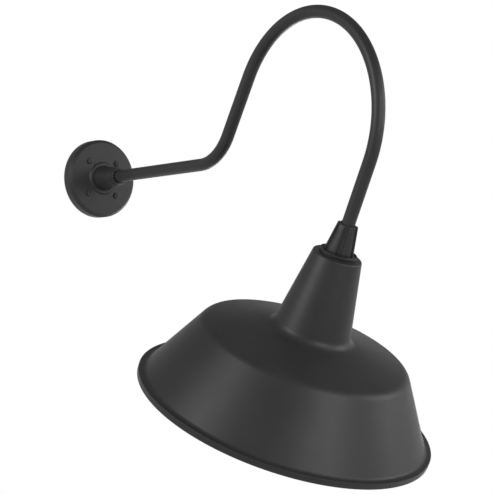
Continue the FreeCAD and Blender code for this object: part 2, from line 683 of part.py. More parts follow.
def holder_screw_places():
    """Centres of the two lampholder screws, midway in the porcelain round the well."""
    half = (HOLDER_R + WELL_R) / 2
    return [(0, half), (0, -half)]


def lampholder_bracket():
    bracket = ring(HOLDER_R, NIPPLE_HOLE_R, BRACKET_TOP, HOLDER_TOP)
    for x, y in holder_screw_places():
        bracket = bracket.cut(disc(HOLDER_SCREW_D / 2 + THREAD_CLEAR, BRACKET_TOP - 1,
                                   HOLDER_TOP + 1, x, y))
    return on_arm(bracket)


def bracket_nut():
    return on_arm(hexagon(NIPPLE_D + 2 * BRACKET_NUT_WALL, HOLDER_TOP, HOLDER_TOP + BRACKET_NUT_H,
                          THREAD_HOLE_R, 15))


def lampholder_screws():
    screws = []
    for x, y in holder_screw_places():
        screw = pan_screw(HOLDER_SCREW_D, HOLDER_SCREW_HEAD_D, HOLDER_SCREW_HEAD_H,
                          HOLDER_SCREW_LEN, 1.0)
        screw.rotate(Vec(0, 0, 0), Vec(1, 0, 0), 180)
        screw.translate(Vec(x, y, BRACKET_TOP))
        screws.append(on_arm(screw))
    return Part.makeCompound(screws)


def lampholder_body():
    socket_r = SHELL_R + SHELL_T + SHELL_GAP
    mouth_r = HOLDER_MOUTH_D / 2
    step = HOLDER_TOP + HOLDER_BASE_H
    body = turned([
        (0, HOLDER_TOP, 0), (HOLDER_R, HOLDER_TOP, 0.8), (HOLDER_R, step, 3.0),
        (mouth_r, step + HOLDER_STEP_H, 3.0), (mouth_r, HOLDER_END, HOLDER_ROUND),
        (socket_r, HOLDER_END, 1.5), (socket_r, SOCKET_FLOOR, 0), (0, SOCKET_FLOOR, 0)])
    body = body.cut(disc(WELL_R, HOLDER_TOP - 1, WELL_FLOOR))
    for x, y in holder_screw_places():
        body = body.cut(disc(HOLDER_SCREW_D / 2 + THREAD_CLEAR, HOLDER_TOP - 1,
                             HOLDER_TOP + HOLDER_SCREW_LEN, x, y))
    for side in (-1, 1):
        body = body.cut(disc(TERMINAL_SHANK_D / 2 + THREAD_CLEAR, WELL_FLOOR - 1,
                             WELL_FLOOR + TERMINAL_GRIP + THREAD_CLEAR, side * TERMINAL_X, 0))
    return on_arm(body)


def screw_shell():
    return on_arm(ring(SHELL_R + SHELL_T, SHELL_R, SHELL_LOW, SHELL_LOW + SHELL_LEN))


def centre_contact():
    """A bent brass tongue on the socket's floor, which the lamp's tip presses on."""
    half = CONTACT_LEN / 2
    top = SOCKET_FLOOR + CONTACT_T
    outline = [Vec(-half, 0, SOCKET_FLOOR), Vec(0, 0, SOCKET_FLOOR),
               Vec(half, 0, SOCKET_FLOOR + CONTACT_RISE), Vec(half, 0, top + CONTACT_RISE),
               Vec(0, 0, top), Vec(-half, 0, top)]
    strip = Part.Face(Part.makePolygon(outline + [outline[0]])).extrude(Vec(0, CONTACT_W, 0))
    strip.translate(Vec(0, -CONTACT_W / 2, 0))
    return on_arm(strip)


def terminal_screw(side):
    """A terminal screw, whose head clamps the bare conductor on the floor of the well."""
    seat = WELL_FLOOR - CONDUCTOR_D - THREAD_CLEAR
    screw = pan_screw(TERMINAL_SHANK_D, TERMINAL_D, TERMINAL_HEAD_H,
                      WELL_FLOOR + TERMINAL_GRIP - seat, 0.5)
    screw.rotate(Vec(0, 0, 0), Vec(1, 0, 0), 180)
    screw.translate(Vec(side * TERMINAL_X, 0, seat))
    return on_arm(screw)


def head_lead(side):
    """A lead from the end of the sleeve, down the nipple, to its terminal screw."""
    near = side * LEAD_PITCH / 2
    bare_y = side * (TERMINAL_SHANK_D / 2 + THREAD_CLEAR + CONDUCTOR_D / 2)
    bare_x = TERMINAL_X - TERMINAL_D / 2 - LEAD_D / 4
    bare_z = WELL_FLOOR - CONDUCTOR_D / 2 - THREAD_CLEAR / 2
    points = [Vec(near, 0, HUB_STOP), Vec(near, 0, NIPPLE_END + LEAD_D),
              Vec(side * (bare_x - LEAD_D), bare_y, bare_z - LEAD_D / 2),
              Vec(side * bare_x, bare_y, bare_z - LEAD_D / 2)]
    lead = wire_along(points, LEAD_D * 0.7, LEAD_D)
    bare = Part.makeCylinder(CONDUCTOR_D / 2, TERMINAL_D + LEAD_D / 2,
                             Vec(side * (bare_x - LEAD_D / 2), bare_y, bare_z), Vec(side, 0, 0))
    return on_arm(lead.fuse(bare))


PIECES = {
    "wall_plate": wall_plate,
    "wall_gasket": wall_gasket,
    "plate_screws": plate_screws,
    "boss_set_screw": boss_set_screw,
    "wire_connectors": wire_connectors,
    "lead_tail_black": lambda: lead_tail(-1),
    "lead_tail_white": lambda: lead_tail(1),
    "ground_lead": ground_lead,
    "ground_screw": ground_screw,
    "gooseneck_arm": gooseneck_arm,
    "arm_lock_nut": arm_lock_nut,
    "wall_end_bush": wall_end_bush,
    "lamp_end_bush": lamp_end_bush,
    "arm_lead_sleeve": arm_lead_sleeve,
    "ribbed_hub": ribbed_hub,
    "hub_set_screws": hub_set_screws,
    "neck_collar": neck_collar,
    "neck_gasket": neck_gasket,
    "shade": shade,
    "threaded_nipple": threaded_nipple,
    "neck_washer": neck_washer,
    "neck_lock_nut": neck_lock_nut,
    "lampholder_bracket": lampholder_bracket,
    "bracket_nut": bracket_nut,
    "lampholder_screws": lampholder_screws,
    "lampholder_body": lampholder_body,
    "screw_shell": screw_shell,
    "centre_contact": centre_contact,
    "terminal_screw_live": lambda: terminal_screw(-1),
    "terminal_screw_neutral": lambda: terminal_screw(1),
    "head_lead_black": lambda: head_lead(-1),
    "head_lead_white": lambda: head_lead(1),
}

os.makedirs("parts", exist_ok=True)
for name, make in PIECES.items():
    shape = make()
    shape.exportStep("parts/" + name + ".step")
    print(name, "solids", len(shape.Solids), "valid", shape.isValid(), "volume", round(shape.Volume, 1))
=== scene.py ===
"""The finished looks of a gooseneck wall sconce, made round its solid model.

The wall is the plane y = 0 and the sconce stands out of it towards -Y, with +Z up. Everything is
in metres. Wall pieces are drawn with (x, y, z) = (right, up, out from the wall). Head pieces are
drawn round their own z axis, which runs down the lamp's axis from the end of the arm's big bend.
"""
import json
import math

import bmesh
import bpy
from bpy.props import FloatProperty, FloatVectorProperty, IntProperty, PointerProperty
from mathutils import Matrix, Vector


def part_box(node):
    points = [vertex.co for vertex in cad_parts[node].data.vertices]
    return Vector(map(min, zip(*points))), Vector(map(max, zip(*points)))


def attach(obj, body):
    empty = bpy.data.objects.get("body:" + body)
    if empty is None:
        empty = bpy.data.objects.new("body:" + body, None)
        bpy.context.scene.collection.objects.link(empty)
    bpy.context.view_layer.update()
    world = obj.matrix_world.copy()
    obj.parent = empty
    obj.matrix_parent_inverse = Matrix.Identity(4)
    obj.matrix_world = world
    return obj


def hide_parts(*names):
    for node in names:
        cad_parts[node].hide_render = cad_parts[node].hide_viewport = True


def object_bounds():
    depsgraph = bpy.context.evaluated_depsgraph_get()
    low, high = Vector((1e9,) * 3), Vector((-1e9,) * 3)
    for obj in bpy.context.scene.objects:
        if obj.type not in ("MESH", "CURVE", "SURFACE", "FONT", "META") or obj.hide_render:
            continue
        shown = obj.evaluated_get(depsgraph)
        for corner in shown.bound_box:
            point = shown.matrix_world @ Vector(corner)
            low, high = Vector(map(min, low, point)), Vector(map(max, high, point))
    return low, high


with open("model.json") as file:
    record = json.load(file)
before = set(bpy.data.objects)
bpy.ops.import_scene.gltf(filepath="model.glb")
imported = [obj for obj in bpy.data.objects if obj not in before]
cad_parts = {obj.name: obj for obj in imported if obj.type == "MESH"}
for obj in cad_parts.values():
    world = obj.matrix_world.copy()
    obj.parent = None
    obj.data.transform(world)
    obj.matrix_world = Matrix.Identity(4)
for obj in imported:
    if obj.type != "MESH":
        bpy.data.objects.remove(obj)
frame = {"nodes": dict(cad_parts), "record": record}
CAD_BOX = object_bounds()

bl_info = {
    "name": "Gooseneck wall sconce",
    "version": (1, 0, 0),
    "blender": (4, 5, 0),
    "location": "View3D > Sidebar > Sconce",
    "description": "Makes the finished pieces of a gooseneck wall sconce",
    "category": "Add Mesh",
}

BODY_OF = {node: body for body, nodes in frame["record"]["behaviour"]["bodies"].items() for node in nodes}

# Small sizes, in metres, that many pieces share
BROKEN_EDGE = 0.0002
EASED_EDGE = 0.0003
SOFT_EDGE = 0.0005
SLACK = 0.0001  # round a screw or the nipple in its hole
OVERLAP = 0.001  # between two shapes of one casting
CUT_PAST = 0.005  # from a casting's surface to the start of a drilled hole

# How finely round corners and the arm's bends are divided, and from which angle an edge stays sharp
DEGREES_A_STEP = 9
DEGREES_A_RING = 1.5
SHARP = 35.0
MOST_OF_HALF = 0.49  # the share of a side that one round corner may take

# Points nearer to each other than this are one point, in metres
SAME_PLACE = 1e-8
POINT_SIZE = 1e-7
SOLID_MERGE = 1e-6

GRUB_GROOVES = (2, 4)  # the grooves of the hub that hold its set screws

# Each lamp's angle from -Y towards +X and its height above the horizon, in degrees
LAMP_ANGLES = {"front": (3, 10), "left": (-90, 20), "right": (55, 14), "back": (130, -16)}
FLOOR_SEGMENTS = 9
FLOOR_SHADES = (0.86, 0.86, 0.86), (0.88, 0.88, 0.88)
SENSOR_MM = 36.0
FAR_CLIP = 50.0


# ---- Settings -------------------------------------------------------------------------------
def length(name, default, description):
    return FloatProperty(name=name, description=description, default=default, min=0.0,
                         precision=5, subtype="DISTANCE", unit="LENGTH")


def turn(name, degrees, description):
    return FloatProperty(name=name, description=description, default=math.radians(degrees),
                         subtype="ANGLE", unit="ROTATION")


def colour(name, default, description):
    return FloatVectorProperty(name=name, description=description, default=default, size=3,
                               min=0.0, max=1.0, subtype="COLOR")


def share(name, default, description):
    return FloatProperty(name=name, description=description, default=default, min=0.0, max=1.0,
                         subtype="FACTOR")


def number(name, default, description):
    return FloatProperty(name=name, description=description, default=default, min=0.0)


def power(name, watts, description):
    return FloatProperty(name=name, description=description, default=watts, min=0.0, unit="POWER")


class ArmSizes(bpy.types.PropertyGroup):
    """The bent tube."""
    tube_d: length("Tube diameter", 0.01905, "Outside diameter of the tube")
    tube_wall: length("Tube wall", 0.00165, "Thickness of the tube's wall")
    wall_run: length("Wall run", 0.2867, "Wall to the first bend")
    up_bend_r: length("Up bend radius", 0.0762, "Centreline radius of the first bend")
    up_bend: turn("Up bend", 59.8, "Turn of the first bend")
    rise_run: length("Rise", 0.0953, "Straight between the bends")
    over_bend_r: length("Over bend radius", 0.1548, "Centreline radius of the big bend")
    over_bend: turn("Over bend", 177.0, "Turn of the big bend")
    drop_run: length("Drop", 0.1218, "End of the big bend to the end of the tube")
    tail_at: length("Tail", 0.0090, "Wall to the threaded end of the tube")
    fit: length("Running fit", 0.00006, "Gap round the tube in its two bores")


class PlateSizes(bpy.types.PropertyGroup):
    """The cast wall plate with its boss."""
    outer_d: length("Diameter", 0.1256, "Outside diameter")
    depth: length("Depth", 0.0191, "Wall to face")
    bevel_w: length("Bevel width", 0.0046, "Width of the bevel, seen from the front")
    bevel_h: length("Bevel height", 0.0048, "Height of the bevel")
    edge_round: length("Edge round", 0.0009, "Rounds at both ends of the bevel")
    front_t: length("Front wall", 0.0035, "Thickness of the front wall")
    rim_t: length("Rim", 0.0055, "Thickness of the rim")
    lip_t: length("Lip", 0.003, "Rim left outside the gasket")
    gasket_t: length("Gasket", 0.003, "Thickness of the wall gasket")
    gasket_inset: length("Gasket inset", 0.005, "Gasket inside the wall of the cavity")
    gasket_slack: length("Gasket slack", 0.0002, "Gasket to the rim's lip")
    cavity_round: length("Cavity round", 0.002, "Round in the corner of the cavity")
    bead_d: length("Bead", 0.0532, "Raised ring round the foot of the boss")
    bead_h: length("Bead height", 0.0031, "Height of the raised ring")
    bead_slope: length("Bead slope", 0.0016, "Width of the ring's sloping side")
    bead_inner_d: length("Bead crest", 0.0416, "Inner edge of the ring's crest")
    bead_valley: length("Bead valley", 0.0010, "Crest to the valley at the boss")
    bead_fall: length("Bead fall", 0.0004, "Crest to the top of the ring's sloping side")
    bead_round: length("Bead round", 0.0011, "Round at the top of the sloping side")
    crest_round: length("Crest round", 0.0009, "Round at the inner edge of the crest")
    valley_round: length("Valley round", 0.0004, "Hollow rounds at the foot of the ring and of the boss")
    boss_base_wall: length("Boss foot", 0.0098, "Round the tube, where the boss meets the face")
    boss_nose_wall: length("Boss nose", 0.0052, "Round the tube, where the nose begins")
    boss_step: length("Boss step", 0.0009, "Step in, where the nose begins")
    boss_tip_wall: length("Boss tip", 0.0039, "Round the tube, at the tip")
    tip_round: length("Boss tip round", 0.0025, "Round at the tip")
    boss_l: length("Boss length", 0.0468, "Face to tip")
    nose_l: length("Nose length", 0.0071, "Length of the nose")
    mouth_gap: length("Boss mouth", 0.0010, "Round the tube, in the mouth of the boss")
    mouth_depth: length("Boss mouth depth", 0.003, "Depth of the mouth")
    screw_spacing: length("Screw spacing", 0.0522, "Square of the four wall screws")
    screw_head_d: length("Screw head", 0.0096, "Diameter of a wall screw's head")
    screw_head_h: length("Screw head height", 0.003, "Height of a wall screw's head")
    screw_shank_d: length("Screw shank", 0.0048, "Plain part of a wall screw")
    screw_thread_d: length("Screw thread", 0.0045, "Threaded part of a wall screw")
    screw_l: length("Screw length", 0.038, "Length under the head")
    screw_point: length("Screw point", 0.005, "Length of the point")
    screw_pitch: length("Screw pitch", 0.0019, "Pitch of the thread")
    screw_slack: length("Screw slack", 0.0003, "Round a wall screw in its hole")
    cross_r: length("Cross", 0.0026, "Middle of a head to the end of its cross recess")
    cross_depth: length("Cross depth", 0.0016, "Depth of the cross recess")
    pad_d: length("Screw pad", 0.0125, "Cast pad behind each screw")
    ground_pad_d: length("Ground pad", 0.010, "Cast pad under the ground screw")
    ground_pad_h: length("Ground pad height", 0.0026, "Height of the ground screw's pad")
    grub_d: length("Grub screw", 0.005, "Diameter of the grub screws")
    grub_at: length("Grub screw place", 0.040, "Wall to the boss's grub screw")
    grub_sink: length("Grub screw sink", 0.0004, "Grub screws below the surface round them")
    grub_lift: length("Grub screw lift", 0.0003, "Grub screws above the tube")


class HubSizes(bpy.types.PropertyGroup):
    """The cast hub with six grooves."""
    hub_l: length("Length", 0.0417, "Length of the hub")
    grip: length("Grip", 0.0301, "Length of tube inside the hub")
    top_wall: length("Top wall", 0.005, "Round the tube, at the top")
    base_d: length("Base diameter", 0.0422, "Diameter at the base")
    mouth_gap: length("Mouth", 0.0015, "Round the tube, in the mouth at the top")
    mouth_depth: length("Mouth depth", 0.005, "Depth of the mouth")
    grooves: IntProperty(name="Grooves", description="How many grooves", default=6, min=3)
    groove_w: turn("Groove width", 26.0, "Width of a groove, seen along the axis")
    groove_depth: length("Groove depth", 0.003, "Depth of a groove")
    floor_share: share("Groove floor", 0.8, "Share of the groove's width that its floor takes")
    floor_round: length("Groove floor round", 0.0006, "Hollow rounds along the groove's floor")
    lip_share: number("Groove lip", 1.03, "Groove's width at its lips, over its stated width")
    pad_share: number("Pad start", 1.35, "Angle at which the round pad starts, over the groove's own")
    clocking: turn("Clocking", 40.0, "First groove, from the side away from the wall towards -X")
    edge_round: length("Edge round", 0.0008, "Rounds along the edges of the pads")
    top_round: length("Top round", 0.0011, "Round at the top of the pads")
    grub_up: length("Grub screw place", 0.012, "Grub screws above the end of the tube")
    stop_gap: length("Stop", 0.0002, "End of the tube to its stop in the hub")
    nipple_d: length("Nipple", 0.0132, "Threaded nipple through hub, collar and shade")


class CollarSizes(bpy.types.PropertyGroup):
    """The dished collar under the hub, and the gasket under it."""
    outer_d: length("Diameter", 0.0538, "Diameter of the collar's ring")
    height: length("Height", 0.0038, "Seat of the hub to the base")
    seat_gap: length("Seat", 0.0005, "Seat's edge outside the hub")
    dish_depth: length("Dish depth", 0.0008, "Seat to the floor of the dish")
    lip_w: length("Lip width", 0.002, "Width of the lip")
    lip_rise: length("Lip rise", 0.0008, "Crest of the lip above the seat")
    ring_h: length("Ring height", 0.0027, "Crest of the lip to the undercut")
    undercut: length("Undercut", 0.0014, "From the ring's edge inwards")
    edge_round: length("Edge round", 0.0009, "Rounds along the lip")
    gasket_inset: length("Gasket inset", 0.0006, "Neck gasket inside the undercut")
    gasket_t: length("Gasket", 0.0008, "Thickness of the neck gasket")


class ShadeSizes(bpy.types.PropertyGroup):
    """The spun shade."""
    outer_d: length("Diameter", 0.432, "Over the rolled rim")
    wall: length("Thickness", 0.001, "Thickness of the metal")
    neck_top_d: length("Neck top", 0.0703, "Diameter at the top of the neck")
    neck_h: length("Neck height", 0.1177, "Height of the neck")
    neck_base_d: length("Neck foot", 0.1124, "Diameter at the foot of the neck")
    shoulder_h: length("Shoulder height", 0.0203, "Height of the shoulder")
    shoulder_d: length("Shoulder diameter", 0.2992, "Diameter at the shoulder")
    skirt_h: length("Skirt height", 0.0988, "Shoulder to the top of the rolled rim")
    flare_w: length("Flare", 0.0041, "End of the skirt to the middle of the roll")
    roll_d: length("Roll", 0.0097, "Diameter of the rolled rim")
    hem_w: length("Hem width", 0.0075, "Width of the rolled rim's flattened hem")
    hem_corner: length("Hem corner", 0.0013, "Round on the hem's upper edge")
    hem_round: length("Hem round", 0.0028, "Round on the hem's lower edges")
    hem_return: length("Hem return", 0.0045, "Ledge to the end of the metal inside the hem")
    neck_round: length("Neck round", 0.0026, "Round at the top of the neck")
    foot_round: length("Foot round", 0.015, "Hollow round at the foot of the neck")
    shoulder_round: length("Shoulder round", 0.020, "Round at the shoulder")
    flare_round: length("Flare round", 0.0115, "Hollow round above the rim")


class HolderSizes(bpy.types.PropertyGroup):
    """The porcelain lampholder and its brass screw shell."""
    outer_d: length("Base diameter", 0.050, "Diameter of the base")
    mouth_d: length("Mouth diameter", 0.046, "Outside diameter at the mouth")
    height: length("Height", 0.063, "Height of the porcelain")
    base_h: length("Base height", 0.022, "Height of the wide base")
    step_h: length("Step height", 0.006, "Height of the slope to the mouth")
    well_d: length("Well diameter", 0.034, "Wiring well at the back")
    well_depth: length("Well depth", 0.015, "Depth of the well")
    web_t: length("Web", 0.014, "Between the well and the socket")
    shell_bore: length("Shell bore", 0.0264, "Bore of the screw shell")
    shell_t: length("Shell thickness", 0.0004, "Thickness of the brass")
    shell_l: length("Shell length", 0.028, "Length of the screw shell")
    shell_gap: length("Shell gap", 0.00025, "Shell to porcelain")
    shell_low: length("Shell lift", 0.0036, "Socket's floor to the shell")
    thread_pitch: length("Thread pitch", 0.00363, "Pitch of the lamp's thread")
    thread_depth: length("Thread depth", 0.0005, "Depth of the lamp's thread")
    well_round: length("Well round", 0.001, "Hollow round at the bottom of the well")
    edge_round: length("Edge round", 0.0008, "Rounds at the back and at the bottom of the socket")
    step_round: length("Step round", 0.003, "Rounds at both ends of the slope")
    lip_in: length("Lip", 0.0006, "Step in near the mouth")
    lip_h: length("Lip height", 0.004, "Start of the step in to the mouth")
    lip_slope: length("Lip slope", 0.0008, "Height of the step in")
    mouth_round: length("Mouth round", 0.0015, "Rounds at the mouth")
    bracket_half_t: length("Bracket", 0.0008, "Middle of the bracket's plate to the porcelain")


class WiringSizes(bpy.types.PropertyGroup):
    """The wire connectors behind the plate."""
    connector_d: length("Connector diameter", 0.009, "Widest part of a wire connector")
    connector_l: length("Connector length", 0.016, "Length of a wire connector")


class Finishes(bpy.types.PropertyGroup):
    """Colours and gloss."""
    coat: colour("Black coat", (0.015, 0.015, 0.0152), "Powder coat on the metal")
    coat_rough: share("Coat roughness", 0.47, "Roughness of the powder coat")
    coat_level: share("Coat reflection", 0.18, "Specular level of the powder coat")
    enamel: colour("White enamel", (0.80, 0.80, 0.77), "Inside of the shade")
    zinc: colour("Zinc", (0.56, 0.57, 0.58), "Plated nuts, washer and bracket")
    brass: colour("Brass", (0.70, 0.50, 0.20), "Screw shell and contact")
    porcelain: colour("Porcelain", (0.78, 0.77, 0.72), "Lampholder")
    rubber: colour("Rubber", (0.018, 0.018, 0.018), "Gaskets")
    nylon: colour("Nylon", (0.045, 0.045, 0.047), "Bushes in the ends of the tube")
    cap: colour("Connector", (0.50, 0.23, 0.05), "Wire connectors")
    lead_black: colour("Black lead", (0.025, 0.025, 0.026), "Insulation")
    lead_white: colour("White lead", (0.70, 0.70, 0.67), "Insulation")
    lead_green: colour("Green lead", (0.03, 0.22, 0.06), "Insulation")


class Studio(bpy.types.PropertyGroup):
    """Camera, lamps and floor."""
    camera_at: FloatVectorProperty(name="Camera", description="Where the camera stands", size=3,
                                   default=(-1.7236, -2.6400, -0.3450), subtype="XYZ", unit="LENGTH")
    azimuth: turn("Azimuth", -37.63, "Which way the camera looks, from +Y towards -X")
    elevation: turn("Elevation", -4.35, "Height of the camera above the horizon")
    roll: turn("Roll", 1.09, "Roll of the camera")
    lens: number("Lens", 141.4, "Focal length in mm, on a 36 mm sensor")
    floor_z: length("Floor below", 2.9, "Wall plate's centre to the floor")
    floor_white: number("Floor white", 0.76, "White that is seen on the floor, on top of its light")
    floor_size: length("Floor size", 30.0, "Width of the floor")
    front_power: power("Front", 68.0, "Lamp in front of the wall")
    left_power: power("Left", 96.0, "Lamp on the left")
    right_power: power("Right", 46.0, "Lamp on the right")
    back_power: power("Back", 34.0, "Lamp behind, on the right")
    lamp_size: length("Lamp size", 1.3, "Width of each lamp")
    lamp_distance: length("Lamp distance", 3.1, "Lamps to the middle of the sconce")
    ambient: number("Ambient", 0.30, "Light from all round")
    ceiling: share("Ceiling", 0.30, "The backdrop overhead, where 1 is white")
    white_up_to: share("White up to", 0.22, "Where the backdrop starts to turn grey; 1 is overhead")
    grey_from: share("Grey from", 0.60, "Where the backdrop has become the ceiling's grey")


class Sconce(bpy.types.PropertyGroup):
    """All the settings."""
    arm: PointerProperty(type=ArmSizes)
    plate: PointerProperty(type=PlateSizes)
    hub: PointerProperty(type=HubSizes)
    collar: PointerProperty(type=CollarSizes)
    shade: PointerProperty(type=ShadeSizes)
    holder: PointerProperty(type=HolderSizes)
    wiring: PointerProperty(type=WiringSizes)
    finishes: PointerProperty(type=Finishes)
    studio: PointerProperty(type=Studio)


# ---- Places ---------------------------------------------------------------------------------
ON_WALL = Matrix.Rotation(math.pi / 2, 4, "X")


def arm_stations(arm, start):
    """The arm's centreline as (out, up, direction) from start to the end of the tube."""
    stations = [(start, 0.0, 0.0), (arm.wall_run, 0.0, 0.0)]

    def bend(radius, angle, way):
        out, up, heading = stations[-1]
        steps = max(2, round(math.degrees(angle) / DEGREES_A_RING))
        centre = (out - way * radius * math.sin(heading), up + way * radius * math.cos(heading))
        for step in range(1, steps + 1):
            now = heading + way * angle * step / steps
            stations.append((centre[0] + way * radius * math.sin(now),
                             centre[1] - way * radius * math.cos(now), now))

    def run(distance):
        out, up, heading = stations[-1]
        stations.append((out + distance * math.cos(heading), up + distance * math.sin(heading), heading))

    bend(arm.up_bend_r, arm.up_bend, 1)
    run(arm.rise_run)
    bend(arm.over_bend_r, arm.over_bend, -1)
    run(arm.drop_run)
    return stations


def on_arm(arm):
    """Places a head piece: its z axis turns to the lamp's axis."""
    out, up, heading = arm_stations(arm, arm.tail_at)[-2]
    return Matrix.Translation((0, -out, up)) @ Matrix.Rotation(math.pi / 2 - heading, 4, "X")


def head_levels(s):
    """Heights along the lamp's axis that the head pieces share."""
    levels = {"hub_top": s.arm.drop_run - s.hub.grip}
    levels["hub_base"] = levels["hub_top"] + s.hub.hub_l
    levels["collar_base"] = levels["hub_base"] + s.collar.height
    levels["neck_top"] = levels["collar_base"] + s.collar.gasket_t
    return levels


# ---- Mesh helpers ---------------------------------------------------------------------------
def rounded(points, closed=True):
    """A 2D outline from (a, b, round) points, with round corners made of short steps."""
    line = []
    count = len(points)
    for index, (a, b, radius) in enumerate(points):
        corner = Vector((a, b))
        if radius <= 0 or (not closed and index in (0, count - 1)):
            line.append(corner)
            continue
        back = Vector(points[index - 1][:2]) - corner
        ahead = Vector(points[(index + 1) % count][:2]) - corner
        half = back.angle(ahead) / 2
        reach = min(radius / math.tan(half), back.length * MOST_OF_HALF, ahead.length * MOST_OF_HALF)
        radius = reach * math.tan(half)
        centre = corner + (back.normalized() + ahead.normalized()).normalized() * (radius / math.sin(half))
        first = corner + back.normalized() * reach - centre
        sweep = first.angle_signed(corner + ahead.normalized() * reach - centre)
        steps = max(3, math.ceil(math.degrees(abs(sweep)) / DEGREES_A_STEP))
        for step in range(steps + 1):
            turned = Matrix.Rotation(-sweep * step / steps, 2) @ first
            line.append(centre + turned)
    return line


def polar(radius, angle, height):
    return Vector((radius * math.cos(angle), radius * math.sin(angle), height))


def row_round(radius_at, height, sides):
    """A row of points round the z axis, where radius_at gives the radius at an angle."""
    angles = [math.tau * side / sides for side in range(sides)]
    return [polar(radius_at(angle), angle, height) for angle in angles]


def turned_rows(outline, sides):
    """Rows of points for a turned piece: one row of sides points for each outline point."""
    return [row_round(lambda angle: radius, height, sides) for radius, height in outline]


def add_rows(bm, rows, closed=True, place=None):
    """Add a grid of rows to a mesh. Rows close on themselves; closed joins the last to the first."""
    rings = []
    for row in rows:
        spread = max((point - row[0]).length for point in row[:: max(1, len(row) // 4)])
        if spread < POINT_SIZE:
            rings.append([bm.verts.new(row[0])] * len(row))
        else:
            rings.append([bm.verts.new(point) for point in row])
    pairs = list(zip(rings, rings[1:]))
    if closed:
        pairs.append((rings[-1], rings[0]))
    faces = []
    for low, high in pairs:
        for side in range(len(low)):
            ahead = (side + 1) % len(low)
            corners = list(dict.fromkeys((low[side], low[ahead], high[ahead], high[side])))
            if len(corners) > 2:
                faces.append(bm.faces.new(corners))
    if place is not None:
        bmesh.ops.transform(bm, matrix=place, verts=list({v for f in faces for v in f.verts}))
    return faces


def make_piece(name, bm, materials, nodes, place=Matrix.Identity(4), sharp=SHARP):
    """Turn a mesh into a piece that rides where its nodes ride and stands for them."""
    bmesh.ops.remove_doubles(bm, verts=bm.verts, dist=SAME_PLACE)
    bmesh.ops.recalc_face_normals(bm, faces=bm.faces)
    mesh = bpy.data.meshes.new(name)
    bm.to_mesh(mesh)
    bm.free()
    mesh.transform(place)
    for material in materials:
        mesh.materials.append(material)
    mesh.shade_smooth()
    mesh.set_sharp_from_angle(angle=math.radians(sharp))
    piece = bpy.data.objects.new(name, mesh)
    bpy.context.collection.objects.link(piece)
    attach(piece, BODY_OF[nodes[0]])
    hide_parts(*nodes)
    return piece


def cut(piece, cutter_bm, place):
    """Cut a shape out of a piece, and leave no modifier on it."""
    mesh = bpy.data.meshes.new("cutter")
    bmesh.ops.recalc_face_normals(cutter_bm, faces=cutter_bm.faces)
    cutter_bm.to_mesh(mesh)
    cutter_bm.free()
    mesh.transform(place)
    tool = bpy.data.objects.new("cutter", mesh)
    bpy.context.collection.objects.link(tool)
    modifier = piece.modifiers.new("cut", "BOOLEAN")
    modifier.object = tool
    modifier.solver = "EXACT"
    result = bpy.data.meshes.new_from_object(piece.evaluated_get(bpy.context.evaluated_depsgraph_get()))
    if len(result.polygons) < len(piece.data.polygons) // 2:
        raise RuntimeError("the cut in " + piece.name + " failed")
    piece.modifiers.clear()
    piece.data = result
    result.shade_smooth()
    result.set_sharp_from_angle(angle=math.radians(SHARP))
    bpy.data.objects.remove(tool)


def grub_hole(grub_d, low, high):
    """The round bar that cuts a grub screw's hole along z, as a new mesh."""
    radius = grub_d / 2 + SLACK
    bm = bmesh.new()
    add_rows(bm, turned_rows([(0, low), (radius, low), (radius, high), (0, high)], 48), closed=False)
    return bm


def thread_rows(major, minor, pitch, low, high, point, sides):
    """Rows of a screw thread along z, from low to high, which fades towards its point at low."""
    rows_a_turn, steepness, point_share = 8, 1.6, 0.12
    rows = []
    steps = max(rows_a_turn, round((high - low) / pitch * rows_a_turn))
    for step in range(steps + 1):
        z = low + (high - low) * step / steps
        fade = point_share + (1 - point_share) * min(1.0, (z - low) / point)

        def radius_at(angle):
            wave = abs(((z / pitch + angle / math.tau) % 1.0) * 2 - 1)
            flank = max(0.0, wave * steepness - steepness + 1)
            return (minor + (major - minor) * flank) * fade

        rows.append(row_round(radius_at, z, sides))
    return rows


def keep_node(node, material, sharp=30.0):
    """A smooth copy of a node's own shape, with its finish."""
    bm = bmesh.new()
    bm.from_mesh(frame["nodes"][node].data)
    bmesh.ops.remove_doubles(bm, verts=bm.verts, dist=SOLID_MERGE)
    return make_piece(node + ".piece", bm, [material], [node], sharp=sharp)


